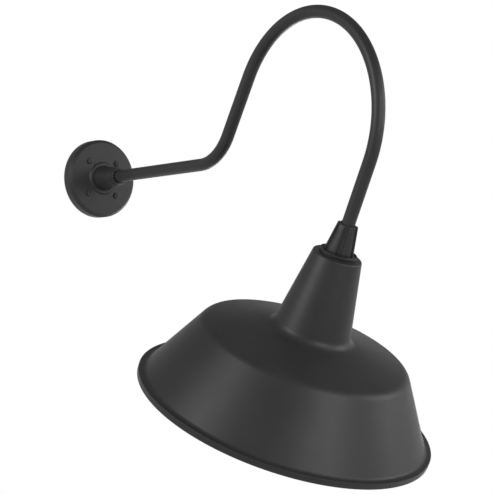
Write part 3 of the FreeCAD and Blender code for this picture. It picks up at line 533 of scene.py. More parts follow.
# ---- Finishes -------------------------------------------------------------------------------
class Finish:
    """A material under construction, with short calls for its nodes."""

    def __init__(self, name):
        self.material = bpy.data.materials.new(name)
        self.material.use_nodes = True
        self.tree = self.material.node_tree
        self.shader = self.tree.nodes["Principled BSDF"]
        self.place = self.node("ShaderNodeTexCoord").outputs["Object"]

    def node(self, kind, **values):
        node = self.tree.nodes.new(kind)
        for key, value in values.items():
            setattr(node, key, value)
        return node

    def set(self, **values):
        for key, value in values.items():
            self.shader.inputs[key.replace("_", " ")].default_value = value

    def noise(self, scale, detail=3.0, stretch=None):
        """Noise of this many lumps a metre. stretch squeezes it along x, y and z."""
        node = self.node("ShaderNodeTexNoise")
        node.inputs["Scale"].default_value = scale
        node.inputs["Detail"].default_value = detail
        source = self.place
        if stretch:
            mapping = self.node("ShaderNodeMapping")
            mapping.inputs["Scale"].default_value = stretch
            self.tree.links.new(source, mapping.inputs["Vector"])
            source = mapping.outputs["Vector"]
        self.tree.links.new(source, node.inputs["Vector"])
        return node.outputs["Fac"]

    def cells(self, scale):
        node = self.node("ShaderNodeTexVoronoi")
        node.inputs["Scale"].default_value = scale
        self.tree.links.new(self.place, node.inputs["Vector"])
        return node.outputs["Distance"]

    def spread(self, value, low, high, start=0.35, end=0.65):
        """Stretch a texture's middle values to a new range."""
        node = self.node("ShaderNodeMapRange")
        for key, number in (("From Min", start), ("From Max", end), ("To Min", low), ("To Max", high)):
            node.inputs[key].default_value = number
        self.tree.links.new(value, node.inputs["Value"])
        return node.outputs["Result"]

    def blend(self, value, first, second):
        """A colour between two, by a texture."""
        node = self.node("ShaderNodeMix", data_type="RGBA")
        self.tree.links.new(value, node.inputs["Factor"])
        for key, shade in ((6, first), (7, second)):
            if isinstance(shade, bpy.types.NodeSocket):
                self.tree.links.new(shade, node.inputs[key])
            else:
                node.inputs[key].default_value = (*shade, 1.0)
        return node.outputs[2]

    def link(self, value, socket):
        self.tree.links.new(value, self.shader.inputs[socket])

    def tone(self, value, first, second):
        """The surface's colour, between two by a texture."""
        self.link(self.blend(value, first, second), "Base Color")

    def gloss(self, scale, low, high, detail=3.0):
        """Roughness between two values, by noise."""
        self.link(self.spread(self.noise(scale, detail), low, high), "Roughness")

    def bump(self, *layers):
        """Layers of (height, depth in metres)."""
        normal = None
        for height, depth in layers:
            node = self.node("ShaderNodeBump")
            node.inputs["Strength"].default_value = 1.0
            node.inputs["Distance"].default_value = depth
            self.tree.links.new(height, node.inputs["Height"])
            if normal is not None:
                self.tree.links.new(normal, node.inputs["Normal"])
            normal = node.outputs["Normal"]
        self.link(normal, "Normal")


def scaled(shade, factor):
    return tuple(min(1.0, part * factor) for part in shade)


def black_coat(f, name="black_coat", grain=0.000012, lumps=0.00001):
    """Satin powder coat: a fine orange peel, slow changes in gloss, and a painted highlight that lightens
    sharp convex edges.
    """
    finish = Finish(name)
    coat = finish.blend(finish.spread(finish.noise(24), 0, 1), scaled(f.coat, 0.95), scaled(f.coat, 1.05))
    # Painted highlight: convex edges, found by pointiness, are lightened towards 2.2 times the coat's colour
    edge = finish.node("ShaderNodeNewGeometry").outputs["Pointiness"]
    finish.tone(finish.spread(edge, 0, 0.35, 0.52, 0.58), coat, scaled(f.coat, 2.2))
    finish.gloss(60, f.coat_rough - 0.01, f.coat_rough + 0.015, 4)
    finish.set(Specular_IOR_Level=f.coat_level)
    finish.bump((finish.noise(1400, 2), grain), (finish.noise(260, 3), lumps))
    return finish.material


def cast_coat(f):
    """The same coat over a sand casting, whose grain shows through."""
    return black_coat(f, "cast_black_coat", 0.000030, 0.000035)


def black_oxide(f):
    """Oiled black steel, a little rougher and more uneven than the coat."""
    finish = Finish("black_oxide")
    finish.tone(finish.spread(finish.noise(900), 0, 1), scaled(f.coat, 0.6), scaled(f.coat, 1.5))
    finish.gloss(500, 0.40, 0.52)
    finish.set(Specular_IOR_Level=f.coat_level)
    finish.bump((finish.noise(2600, 2), 0.000006))
    return finish.material


def white_enamel(f):
    """Glossy enamel with a faint yellowing and a shallow orange peel."""
    finish = Finish("white_enamel")
    finish.tone(finish.spread(finish.noise(14), 0, 1), scaled(f.enamel, 0.965), f.enamel)
    finish.gloss(120, 0.16, 0.24)
    finish.set(Coat_Weight=0.3, Coat_Roughness=0.08)
    finish.bump((finish.noise(420, 2), 0.000010))
    return finish.material


def zinc_plate(f):
    """Dull plating with drawn marks and small spangles."""
    finish = Finish("zinc_plate")
    finish.tone(finish.spread(finish.cells(900), 0, 1, 0.1, 0.6), scaled(f.zinc, 0.82), scaled(f.zinc, 1.1))
    finish.gloss(700, 0.28, 0.46, 4)
    finish.set(Metallic=1.0)
    finish.bump((finish.noise(900, 3, (1, 1, 7)), 0.000006))
    return finish.material


def plain_brass(f):
    """Drawn brass with a light tarnish."""
    finish = Finish("plain_brass")
    finish.tone(finish.spread(finish.noise(260, 5), 0, 0.8), f.brass, scaled(f.brass, 0.62))
    finish.gloss(420, 0.2, 0.38, 4)
    finish.set(Metallic=1.0)
    finish.bump((finish.noise(1200, 2, (1, 1, 5)), 0.000004))
    return finish.material


def glazed_porcelain(f):
    """White body under a clear glaze, with a few dark specks from the kiln."""
    finish = Finish("glazed_porcelain")
    body = finish.blend(finish.spread(finish.noise(70), 0, 1), scaled(f.porcelain, 0.94), f.porcelain)
    finish.tone(finish.spread(finish.cells(700), 1.0, 0.0, 0.02, 0.06), body, scaled(f.porcelain, 0.45))
    finish.gloss(150, 0.12, 0.2)
    finish.set(Coat_Weight=0.6, Coat_Roughness=0.05)
    finish.bump((finish.noise(300, 2), 0.000012))
    return finish.material


def foam_rubber(f):
    """Closed foam with open pores at its cut faces."""
    finish = Finish("foam_rubber")
    pores = finish.cells(1500)
    finish.tone(finish.spread(pores, 0, 1, 0.1, 0.7), scaled(f.rubber, 0.6), scaled(f.rubber, 1.6))
    finish.gloss(800, 0.8, 0.95)
    finish.bump((pores, 0.00012))
    return finish.material


def moulded(name, shade, rough=0.45, level=0.4):
    """Moulded plastic: a fine matt grain with small changes of tone."""
    finish = Finish(name)
    finish.tone(finish.spread(finish.noise(180, 4), 0, 1), scaled(shade, 0.88), scaled(shade, 1.08))
    finish.gloss(600, rough - 0.05, rough + 0.07)
    finish.set(Specular_IOR_Level=level)
    finish.bump((finish.noise(2200, 2), 0.000010))
    return finish.material


# ---- Wall plate -----------------------------------------------------------------------------
def boss_slope(plate):
    """How much the boss's radius shrinks for each metre that it stands out."""
    return (plate.boss_base_wall - plate.boss_nose_wall) / (plate.boss_l - plate.nose_l)


def boss_drill(plate):
    """Places a shape drawn along z in the boss's screw hole, which opens downwards."""
    return Matrix.Translation((0, -plate.grub_at, 0)) @ Matrix.Rotation(math.pi, 4, "X")


def wall_plate_piece(s):
    plate = s.plate
    outer = plate.outer_d / 2
    tube_r = s.arm.tube_d / 2
    bore = tube_r + s.arm.fit
    roof = plate.depth - plate.front_t
    tip = plate.depth + plate.boss_l
    foot = tube_r + plate.boss_base_wall
    nose = tube_r + plate.boss_nose_wall
    cavity = outer - plate.rim_t
    rebate = outer - plate.lip_t
    bead = plate.bead_d / 2
    crest = plate.depth + plate.bead_h
    valley = crest - plate.bead_valley
    nose_start = tip - plate.nose_l
    mouth = tube_r + plate.mouth_gap
    section = [(bore, roof, 0), (cavity, roof, plate.cavity_round), (cavity, plate.gasket_t, 0),
               (rebate, plate.gasket_t, 0), (rebate, 0, BROKEN_EDGE), (outer, 0, SOFT_EDGE),
               (outer, plate.depth - plate.bevel_h, plate.edge_round),
               (outer - plate.bevel_w, plate.depth, plate.edge_round),
               (bead, plate.depth, plate.valley_round),
               (bead - plate.bead_slope, crest - plate.bead_fall, plate.bead_round),
               (plate.bead_inner_d / 2, crest, plate.crest_round),
               (foot - boss_slope(plate) * (valley - plate.depth) + EASED_EDGE, valley, plate.valley_round),
               (nose, nose_start, SOFT_EDGE), (nose - plate.boss_step, nose_start, EASED_EDGE),
               (tube_r + plate.boss_tip_wall, tip, plate.tip_round), (mouth, tip, EASED_EDGE),
               (mouth, tip - plate.mouth_depth, EASED_EDGE), (bore, tip - plate.mouth_depth, 0)]
    bm = bmesh.new()
    add_rows(bm, turned_rows(rounded(section), 240))
    hole = plate.screw_shank_d / 2 + plate.screw_slack
    for x, y in screw_places(plate):
        pad = rounded([(hole, 0, BROKEN_EDGE), (plate.pad_d / 2, 0, SOFT_EDGE),
                       (plate.pad_d / 2, roof + OVERLAP, 0), (hole, roof + OVERLAP, 0)])
        add_rows(bm, turned_rows(pad, 64), place=Matrix.Translation((x, y, 0)))
    low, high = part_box("ground_screw")
    pad_at = ((low[0] + high[0]) / 2, (low[2] + high[2]) / 2, 0)
    pad_r, pad_top = plate.ground_pad_d / 2, roof - plate.ground_pad_h
    pad = rounded([(0, pad_top, 0), (pad_r, pad_top, SOFT_EDGE), (pad_r, roof + OVERLAP, 0),
                   (0, roof + OVERLAP, 0)], closed=False)
    add_rows(bm, turned_rows(pad, 48), closed=False, place=Matrix.Translation(pad_at))
    piece = make_piece("wall_plate.casting", bm, [cast_coat(s.finishes)], ["wall_plate"], ON_WALL)
    cut(piece, grub_hole(plate.grub_d, tube_r, foot + CUT_PAST), boss_drill(plate))
    return piece


def screw_places(plate):
    half = plate.screw_spacing / 2
    return [(-half, half), (half, half), (-half, -half), (half, -half)]


def pan_head_rows(radius, height, cross, depth, sides=120):
    """Rows of a pan head with a cross recess, from the centre of its top to its underside."""
    rings, flat, dome = 44, 0.93, 0.16
    arm, flare, rise = 0.11, 1.5, 0.55
    wall, end_wall = 0.00012, 0.0004
    rows = []
    for ring in range(rings + 1):
        r = radius * flat * ring / rings
        crown = height * (1 - dome * (r / radius) ** 2)
        row = []
        for point in row_round(lambda angle: r, crown, sides):
            across, along = sorted((abs(point.x), abs(point.y)))
            width = arm * cross * (flare - along / cross)
            in_arm = min(1.0, max(0.0, (width - across) / wall + 0.5))
            in_cross = min(1.0, max(0.0, (cross - along) / end_wall))
            point.z -= depth * in_arm * in_cross * (1 - rise * along / cross)
            row.append(point)
        rows.append(row)
    # The rounded edge of the dome, the upright side and the broken edge under it
    edge = height * (1 - dome * flat ** 2)
    side = [(radius * 0.975, edge * 0.93), (radius, edge * 0.8), (radius, height * 0.08),
            (radius * 0.985, 0), (0, 0)]
    return rows + turned_rows(side, sides)


def plate_screws_piece(s):
    plate = s.plate
    sides, first_turn, turn_a_metre = 48, 20, 1000
    shank_r, thread_r, root_r = plate.screw_shank_d / 2, plate.screw_thread_d / 2, plate.screw_thread_d * 0.33
    under, thread_top = BROKEN_EDGE, -plate.depth - EASED_EDGE
    neck_r, neck_end = plate.screw_thread_d * 0.36, -plate.depth - 2 * EASED_EDGE
    bm = bmesh.new()
    for x, y in screw_places(plate):
        turned = math.radians(first_turn + x * turn_a_metre)
        place = Matrix.Translation((x, y, plate.depth)) @ Matrix.Rotation(turned, 4, "Z")
        head = pan_head_rows(plate.screw_head_d / 2, plate.screw_head_h, plate.cross_r, plate.cross_depth)
        shank = [(0, under), (shank_r, under), (shank_r, -plate.depth), (neck_r, neck_end), (0, neck_end)]
        thread = thread_rows(thread_r, root_r, plate.screw_pitch, -plate.screw_l, thread_top,
                             plate.screw_point, sides)
        tip, top = turned_rows([(0, -plate.screw_l), (0, thread_top)], sides)
        for rows in (head, turned_rows(shank, sides), [tip, *thread, top]):
            add_rows(bm, rows, closed=False, place=place)
    return make_piece("plate_screws.pan_heads", bm, [black_oxide(s.finishes)], ["plate_screws"], ON_WALL, 28)


def grub_rows(radius, tip, end):
    """Rows of a grub screw along z: a cup tip at tip and a hexagon socket at end."""
    sides, sixth = 48, math.pi / 3
    key_r, key_floor_r, key_depth, drill_point = radius * 0.6, radius * 0.56, 0.002, 0.0004
    cup_r, cup_slope = radius * 0.6, 0.0007

    def hexagon(corner_r):
        flat_r = corner_r * math.cos(sixth / 2)
        return lambda angle: flat_r / math.cos((angle + sixth / 2) % sixth - sixth / 2)

    cup = [(0, tip + EASED_EDGE), (cup_r * 0.75, tip + BROKEN_EDGE), (cup_r, tip), (radius, tip + cup_slope)]
    rows = turned_rows([*cup, (radius, end - BROKEN_EDGE), (radius - BROKEN_EDGE, end)], sides)
    for corner_r, z in ((key_r, end), (key_floor_r, end - BROKEN_EDGE / 2),
                        (key_floor_r, end - key_depth)):
        rows.append(row_round(hexagon(corner_r), z, sides))
    return rows + turned_rows([(0, end - key_depth - drill_point)], sides)


def boss_grub_piece(s):
    plate = s.plate
    tube_r = s.arm.tube_d / 2
    surface = tube_r + plate.boss_base_wall - boss_slope(plate) * (plate.grub_at - plate.depth)
    rows = grub_rows(plate.grub_d / 2, tube_r + plate.grub_lift, surface - plate.grub_sink)
    bm = bmesh.new()
    add_rows(bm, rows, closed=False)
    return make_piece("boss_set_screw.hex", bm, [black_oxide(s.finishes)], ["boss_set_screw"],
                      boss_drill(plate))


def wall_gasket_piece(s):
    plate = s.plate
    outer = plate.outer_d / 2 - plate.lip_t - plate.gasket_slack
    inner = plate.outer_d / 2 - plate.rim_t - plate.gasket_inset
    bm = bmesh.new()
    section = rounded([(inner, 0, 2 * EASED_EDGE), (outer, 0, EASED_EDGE),
                       (outer, plate.gasket_t, EASED_EDGE), (inner, plate.gasket_t, 2 * EASED_EDGE)])
    add_rows(bm, turned_rows(section, 160))
    return make_piece("wall_gasket.foam", bm, [foam_rubber(s.finishes)], ["wall_gasket"], ON_WALL)


def connector_rows(length_, radius):
    """Rows of a wire connector: a hollow mouth at z = 0, a plain skirt and a ribbed grip."""
    sides, steps, ribs, rib_depth = 96, 16, 6, 0.06
    grip_start, grip_l, narrowing = 0.24, 0.70, 0.33
    bore, bore_end, funnel, funnel_end = radius * 0.30, length_ * 0.55, 0.0027, 0.003
    rows = turned_rows([(0, bore_end), (bore, bore_end), (bore, funnel_end), (radius * 0.70, funnel),
                        (radius * 0.72, 0), (radius * 0.94, 0), (radius, 2 * EASED_EDGE),
                        (radius, length_ * 0.22)], sides)
    for step in range(steps + 1):
        t = step / steps
        base = radius * (1.0 - narrowing * t ** 1.4)
        depth = rib_depth * radius * min(1.0, 6 * t, 6 * (1 - t))
        z = length_ * (grip_start + grip_l * t)
        rows.append(row_round(lambda angle: base + depth * (abs(math.cos(ribs * angle)) - 1), z, sides))
    crown = [(radius * 0.55, length_ * 0.985), (radius * 0.4, length_), (0, length_)]
    return rows + turned_rows(crown, sides)


def wire_connectors_piece(s):
    low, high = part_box("wire_connectors")
    radius, length_ = s.wiring.connector_d / 2, s.wiring.connector_l
    middle = (low[1] + high[1]) / 2
    x = high[0] - radius
    bm = bmesh.new()
    for side, way in ((-1, 1), (1, 1), (-1, -1)):
        end = high[2] if way > 0 else low[2]
        place = Matrix.Translation((side * x, middle, end - way * length_))
        if way < 0:
            place = place @ Matrix.Rotation(math.pi, 4, "X")
        add_rows(bm, connector_rows(length_, radius), closed=False, place=place)
    return make_piece("wire_connectors.ribbed", bm, [moulded("connector_cap", s.finishes.cap, 0.32, 0.5)],
                      ["wire_connectors"], sharp=40)


# ---- Arm ------------------------------------------------------------------------------------
def gooseneck_arm_piece(s):
    arm = s.arm
    sides, straight_rings = 96, 12
    stations = arm_stations(arm, arm.tail_at)
    start = stations[0][0]
    gap = (arm.wall_run - start) / straight_rings
    stations = [(start + gap * step, 0.0, 0.0) for step in range(straight_rings)] + stations[1:]
    outer = arm.tube_d / 2
    inner = outer - arm.tube_wall

    def ring(station, radius):
        out, up, heading = station
        lean = Vector((0, math.sin(heading), math.cos(heading)))
        points = row_round(lambda angle: radius, 0, sides)
        return [Vector((point.x, -out, up)) + point.y * lean for point in points]

    out, up, heading = stations[-1]
    near_end = (out - EASED_EDGE * math.cos(heading), up - EASED_EDGE * math.sin(heading), heading)
    rows = [ring(station, inner) for station in stations]
    rows += [ring(stations[-1], outer - EASED_EDGE), ring(near_end, outer)]
    rows += [ring(station, outer) for station in reversed(stations[1:-1])]
    rows += [ring((start + EASED_EDGE, 0.0, 0.0), outer), ring(stations[0], outer - EASED_EDGE)]
    bm = bmesh.new()
    add_rows(bm, rows)
    return make_piece("gooseneck_arm.tube", bm, [black_coat(s.finishes)], ["gooseneck_arm"])


# ---- Hub, collar and shade ------------------------------------------------------------------
def hub_section(hub, radius):
    """Half of one groove and half of the pad beside it, as (across, out) points at this radius."""
    floor_steps, pad_steps = 5, 8
    half = radius * math.sin(hub.groove_w / 2)
    lip = half * hub.lip_share
    floor = radius - hub.groove_depth
    pad_start = hub.groove_w / 2 * hub.pad_share
    pad_end = math.pi / hub.grooves
    side = rounded([(0, floor, 0), (half * hub.floor_share, floor, hub.floor_round),
                    (lip, math.sqrt(radius ** 2 - lip ** 2), hub.edge_round),
                    (radius * math.sin(pad_start), radius * math.cos(pad_start), 0)], closed=False)
    across = [side[0].lerp(side[1], step / floor_steps) for step in range(floor_steps)]
    pad_angles = [pad_start + (pad_end - pad_start) * step / pad_steps for step in range(pad_steps)]
    pad = [Vector((radius * math.sin(angle), radius * math.cos(angle))) for angle in pad_angles]
    return across + side[1:-1] + pad


def hub_ring(hub, radius):
    """The hub's whole outline at this radius, as (angle, radius) round the z axis."""
    ring = []
    right = hub_section(hub, radius)
    left = [Vector((-point.x, point.y)) for point in right[:0:-1]]
    middle = Vector((-radius * math.sin(math.pi / hub.grooves), radius * math.cos(math.pi / hub.grooves)))
    for index in range(hub.grooves):
        centre = math.pi / 2 + hub.clocking - index * math.tau / hub.grooves
        ring += [(centre - math.atan2(point.x, point.y), point.length) for point in [middle, *left, *right]]
    return ring


def ribbed_hub_piece(s):
    hub, arm = s.hub, s.arm
    levels = head_levels(s)
    top, base = levels["hub_top"], levels["hub_base"]
    tube_r = arm.tube_d / 2
    bore = tube_r + arm.fit
    mouth = tube_r + hub.mouth_gap
    lip = mouth + EASED_EDGE
    stop = arm.drop_run + hub.stop_gap
    nipple = hub.nipple_d / 2 + SLACK
    round_steps, wall_steps, wall_end = 4, 8, base - 2 * EASED_EDGE
    columns = []
    at_top, at_base = hub_ring(hub, tube_r + hub.top_wall), hub_ring(hub, hub.base_d / 2)
    for (angle, upper), (_, lower) in zip(at_top, at_base):
        slope = (lower - upper) / (base - top)
        start = top if upper > lip else top + (lip - upper) / slope
        begin = upper + slope * (start - top)
        soft = min(hub.top_round, (begin - mouth) * 0.45)
        column = [(bore, top + hub.mouth_depth), (mouth, top + hub.mouth_depth), (mouth, start + soft * 0.4),
                  (mouth + soft * 0.2, start)]
        for step in range(round_steps + 1):
            bend = math.pi / 2 * step / round_steps
            fall = soft * (1 - math.cos(bend))
            column.append((begin - soft + soft * math.sin(bend) + slope * fall, start + fall))
        for step in range(1, wall_steps + 1):
            z = start + soft + (wall_end - start - soft) * step / wall_steps
            column.append((upper + slope * (z - top), z))
        column += [(lower - EASED_EDGE, base - BROKEN_EDGE / 2), (lower - hub.edge_round, base),
                   (nipple, base), (nipple, stop), (bore, stop)]
        columns.append([polar(r, angle, z) for r, z in column])
    bm = bmesh.new()
    add_rows(bm, [list(row) for row in zip(*columns)])
    piece = make_piece("ribbed_hub.casting", bm, [cast_coat(s.finishes)], ["ribbed_hub"], on_arm(arm), 32)
    for index in GRUB_GROOVES:
        cut(piece, grub_hole(s.plate.grub_d, tube_r, hub.base_d / 2), on_arm(arm) @ grub_place(s, index))
    return piece


def grub_place(s, index):
    """Places a screw drawn along z so that it points out of a groove of the hub."""
    angle = math.pi / 2 + s.hub.clocking + index * math.tau / s.hub.grooves
    level = s.arm.drop_run - s.hub.grub_up
    return (Matrix.Translation((0, 0, level)) @ Matrix.Rotation(angle, 4, "Z")
            @ Matrix.Rotation(math.pi / 2, 4, "Y"))


def hub_grubs_piece(s):
    hub, plate = s.hub, s.plate
    tube_r = s.arm.tube_d / 2
    top_r = tube_r + hub.top_wall
    along = (hub.grip - hub.grub_up) / hub.hub_l
    surface = top_r + (hub.base_d / 2 - top_r) * along - hub.groove_depth - plate.grub_sink
    bm = bmesh.new()
    for index in GRUB_GROOVES:
        add_rows(bm, grub_rows(plate.grub_d / 2, tube_r + plate.grub_lift, surface), closed=False,
                 place=grub_place(s, index))
    return make_piece("hub_set_screws.hex", bm, [black_oxide(s.finishes)], ["hub_set_screws"], on_arm(s.arm))


def neck_collar_piece(s):
    collar = s.collar
    levels = head_levels(s)
    outer = collar.outer_d / 2
    foot = outer - collar.undercut
    hole = s.hub.nipple_d / 2 + 2 * SLACK
    seat = s.hub.base_d / 2 + collar.seat_gap
    base, hub_base = levels["collar_base"], levels["hub_base"]
    crest = hub_base - collar.lip_rise
    floor = hub_base + collar.dish_depth
    soft = collar.edge_round
    section = rounded([(hole, base, 0), (foot, base, EASED_EDGE), (foot, crest + collar.ring_h, EASED_EDGE),
                       (outer, crest + collar.ring_h, SOFT_EDGE), (outer, crest, soft),
                       (outer - collar.lip_w, crest, soft), (outer - collar.lip_w, floor, 2 * EASED_EDGE),
                       (seat, floor, EASED_EDGE), (seat, hub_base, EASED_EDGE), (hole, hub_base, 0)])
    bm = bmesh.new()
    add_rows(bm, turned_rows(section, 160))
    return make_piece("neck_collar.turned", bm, [black_coat(s.finishes, "collar_coat")], ["neck_collar"],
                      on_arm(s.arm))


def neck_gasket_piece(s):
    levels = head_levels(s)
    outer = s.collar.outer_d / 2 - s.collar.undercut - s.collar.gasket_inset
    hole = s.hub.nipple_d / 2 + 2 * SLACK
    section = rounded([(hole, levels["collar_base"], 0), (outer, levels["collar_base"], BROKEN_EDGE),
                       (outer, levels["neck_top"], BROKEN_EDGE), (hole, levels["neck_top"], 0)])
    bm = bmesh.new()
    add_rows(bm, turned_rows(section, 128))
    return make_piece("neck_gasket.foam", bm, [foam_rubber(s.finishes)], ["neck_gasket"], on_arm(s.arm))


def shade_piece(s):
    shade = s.shade
    sides = 384
    top = head_levels(s)["neck_top"]
    foot = top + shade.neck_h
    crest = foot + shade.shoulder_h
    rim = crest + shade.skirt_h
    edge = shade.outer_d / 2
    end = rim + shade.roll_d
    ledge = edge - shade.roll_d / 2 - shade.flare_w
    hem_start = (edge - shade.hem_corner, rim, 0)
    hem_inner = edge - shade.hem_w
    hole = s.hub.nipple_d / 2 + 2 * SLACK
    outer = rounded([(hole, top, 0), (shade.neck_top_d / 2, top, shade.neck_round),
                     (shade.neck_base_d / 2, foot, shade.foot_round),
                     (shade.shoulder_d / 2, crest, shade.shoulder_round),
                     (ledge, rim, shade.flare_round), hem_start], closed=False)
    body_end = len(outer)
    hem = rounded([hem_start, (edge, rim, shade.hem_corner), (edge, end, shade.hem_round),
                   (hem_inner, end, shade.hem_round), (hem_inner, rim + shade.hem_return, 0)], closed=False)
    outer += hem[1:]
    inner = []
    for index, point in enumerate(outer):
        along = outer[min(index + 1, len(outer) - 1)] - outer[max(index - 1, 0)]
        inner.append(point + Vector((-along.y, along.x)).normalized() * shade.wall)
    inner[0] = Vector((hole, top + shade.wall))
    section = outer + inner[::-1]
    bm = bmesh.new()
    faces = add_rows(bm, turned_rows(section, sides))
    enamelled = range((len(section) - body_end) * sides, (len(section) - 1) * sides)
    for index in enamelled:
        faces[index].material_index = 1
    return make_piece("shade.spun", bm, [black_coat(s.finishes, "shade_coat"), white_enamel(s.finishes)],
                      ["shade"], on_arm(s.arm))


# ---- Lampholder -----------------------------------------------------------------------------
def holder_levels(s):
    """Heights of the porcelain's top, the socket's floor and the mouth along the lamp's axis."""
    low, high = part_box("lampholder_bracket")
    bracket = on_arm(s.arm).inverted() @ ((Vector(low) + Vector(high)) / 2)
    top = bracket.z + s.holder.bracket_half_t
    floor = top + s.holder.well_depth + s.holder.web_t
    return top, floor, top + s.holder.height


def lampholder_piece(s):
    holder = s.holder
    top, floor, end = holder_levels(s)
    outer, mouth = holder.outer_d / 2, holder.mouth_d / 2
    socket = holder.shell_bore / 2 + holder.shell_t + holder.shell_gap
    step = top + holder.base_h
    well = holder.well_d / 2
    lip = mouth - holder.lip_in
    lip_start = end - holder.lip_h
    well_end = top + holder.well_depth
    section = rounded([(0, floor, 0), (0, well_end, 0), (well, well_end, holder.well_round),
                       (well, top, 2 * EASED_EDGE), (outer, top, holder.edge_round),
                       (outer, step, holder.step_round),
                       (mouth, step + holder.step_h, holder.step_round), (mouth, lip_start, 2 * EASED_EDGE),
                       (lip, lip_start + holder.lip_slope, SOFT_EDGE), (lip, end, holder.mouth_round),
                       (socket, end, holder.mouth_round), (socket, floor, holder.edge_round)], closed=False)
    bm = bmesh.new()
    add_rows(bm, turned_rows([*section, (0, floor)], 160), closed=False)
    return make_piece("lampholder_body.porcelain", bm, [glazed_porcelain(s.finishes)], ["lampholder_body"],
                      on_arm(s.arm))


def screw_shell_piece(s):
    """The brass shell with the lamp's rolled thread, which is a wave of steady pitch."""
    holder = s.holder
    low = holder_levels(s)[1] + holder.shell_low
    sides, rows_a_turn, inner_r = 96, 12, holder.shell_bore / 2
    steps = round(holder.shell_l / holder.thread_pitch * rows_a_turn)
    levels = range(steps + 1)
    rows = []
    for radius, order in ((inner_r, levels), (inner_r + holder.shell_t, reversed(levels))):
        for step in order:
            z = low + holder.shell_l * step / steps
            wave = holder.thread_depth / 2 * min(1.0, 5 * step / steps, 5 * (1 - step / steps))
            turned = math.tau * z / holder.thread_pitch
            rows.append(row_round(lambda angle: radius - wave * (1 - math.cos(turned + angle)), z, sides))
    bm = bmesh.new()
    add_rows(bm, rows)
    return make_piece("screw_shell.brass", bm, [plain_brass(s.finishes)], ["screw_shell"], on_arm(s.arm), 50)


# ---- Operators ------------------------------------------------------------------------------
class SCONCE_OT_wall_plate(bpy.types.Operator):
    """Make the cast wall plate with its boss and its gasket."""
    bl_idname = "sconce.wall_plate"
    bl_label = "Wall plate"

    def execute(self, context):
        wall_plate_piece(context.scene.sconce)
        wall_gasket_piece(context.scene.sconce)
        return {"FINISHED"}


class SCONCE_OT_wall_screws(bpy.types.Operator):
    """Make the four wall screws and the boss's grub screw."""
    bl_idname = "sconce.wall_screws"
    bl_label = "Wall screws"

    def execute(self, context):
        plate_screws_piece(context.scene.sconce)
        boss_grub_piece(context.scene.sconce)
        return {"FINISHED"}


class SCONCE_OT_arm(bpy.types.Operator):
    """Make the bent tube."""
    bl_idname = "sconce.arm"
    bl_label = "Gooseneck arm"

    def execute(self, context):
        gooseneck_arm_piece(context.scene.sconce)
        return {"FINISHED"}


class SCONCE_OT_hub(bpy.types.Operator):
    """Make the ribbed hub and its grub screws."""
    bl_idname = "sconce.hub"
    bl_label = "Ribbed hub"

    def execute(self, context):
        ribbed_hub_piece(context.scene.sconce)
        hub_grubs_piece(context.scene.sconce)
        return {"FINISHED"}


class SCONCE_OT_collar(bpy.types.Operator):
    """Make the dished collar and the gasket under it."""
    bl_idname = "sconce.collar"
    bl_label = "Neck collar"

    def execute(self, context):
        neck_collar_piece(context.scene.sconce)
        neck_gasket_piece(context.scene.sconce)
        return {"FINISHED"}


class SCONCE_OT_shade(bpy.types.Operator):
    """Make the spun shade, black outside and white inside."""
    bl_idname = "sconce.shade"
    bl_label = "Shade"

    def execute(self, context):
        shade_piece(context.scene.sconce)
        return {"FINISHED"}


class SCONCE_OT_lampholder(bpy.types.Operator):
    """Make the porcelain lampholder, its brass shell, its contact and the live terminal's screw."""
    bl_idname = "sconce.lampholder"
    bl_label = "Lampholder"

    def execute(self, context):
        s = context.scene.sconce
        lampholder_piece(s)
        screw_shell_piece(s)
        brass = plain_brass(s.finishes)
        keep_node("centre_contact", brass)
        keep_node("terminal_screw_live", brass)
        return {"FINISHED"}


class SCONCE_OT_clamp(bpy.types.Operator):
    """Finish the plated nuts, nipple, washer, bracket and screws."""
    bl_idname = "sconce.clamp"
    bl_label = "Nuts, washer and bracket"

    def execute(self, context):
        zinc = zinc_plate(context.scene.sconce.finishes)
        for node in ("arm_lock_nut", "threaded_nipple", "neck_washer", "neck_lock_nut", "lampholder_bracket",
                     "bracket_nut", "lampholder_screws", "terminal_screw_neutral"):
            keep_node(node, zinc)
        return {"FINISHED"}


class SCONCE_OT_wiring(bpy.types.Operator):
    """Make the leads, their sleeve, the bushes, the connectors and the ground screw."""
    bl_idname = "sconce.wiring"
    bl_label = "Wiring"

    def execute(self, context):
        s = context.scene.sconce
        f = s.finishes
        wire_connectors_piece(s)
        for material, nodes in ((moulded("black_lead", f.lead_black),
                                 ("arm_lead_sleeve", "lead_tail_black", "head_lead_black")),
                                (moulded("white_lead", f.lead_white), ("lead_tail_white", "head_lead_white")),
                                (moulded("green_lead", f.lead_green), ("ground_lead", "ground_screw")),
                                (moulded("nylon_bush", f.nylon, 0.5), ("wall_end_bush", "lamp_end_bush"))):
            for node in nodes:
                keep_node(node, material, 40.0)
        return {"FINISHED"}


class SCONCE_OT_stage(bpy.types.Operator):
    """Make the floor, the lamps, the light all round and the camera."""
    bl_idname = "sconce.stage"
    bl_label = "Studio"

    def execute(self, context):
        studio = context.scene.sconce.studio
        make_floor(studio)
        make_world(context.scene, studio)
        for name, (azimuth, elevation) in LAMP_ANGLES.items():
            lamp(name, studio, getattr(studio, name + "_power"), azimuth, elevation)
        make_camera(context.scene, studio)
        context.scene.view_settings.view_transform = "Standard"
        return {"FINISHED"}


# ---- Studio ---------------------------------------------------------------------------------
def seen_directly(tree):
    """1 where a camera, glossy or transmission ray looks, and 0 where a surface is only lit."""
    path = tree.nodes.new("ShaderNodeLightPath")
    seen = path.outputs["Is Camera Ray"]
    for kind in ("Is Glossy Ray", "Is Transmission Ray"):
        either = tree.nodes.new("ShaderNodeMath")
        either.operation = "MAXIMUM"
        tree.links.new(seen, either.inputs[0])
        tree.links.new(path.outputs[kind], either.inputs[1])
        seen = either.outputs[0]
    return seen


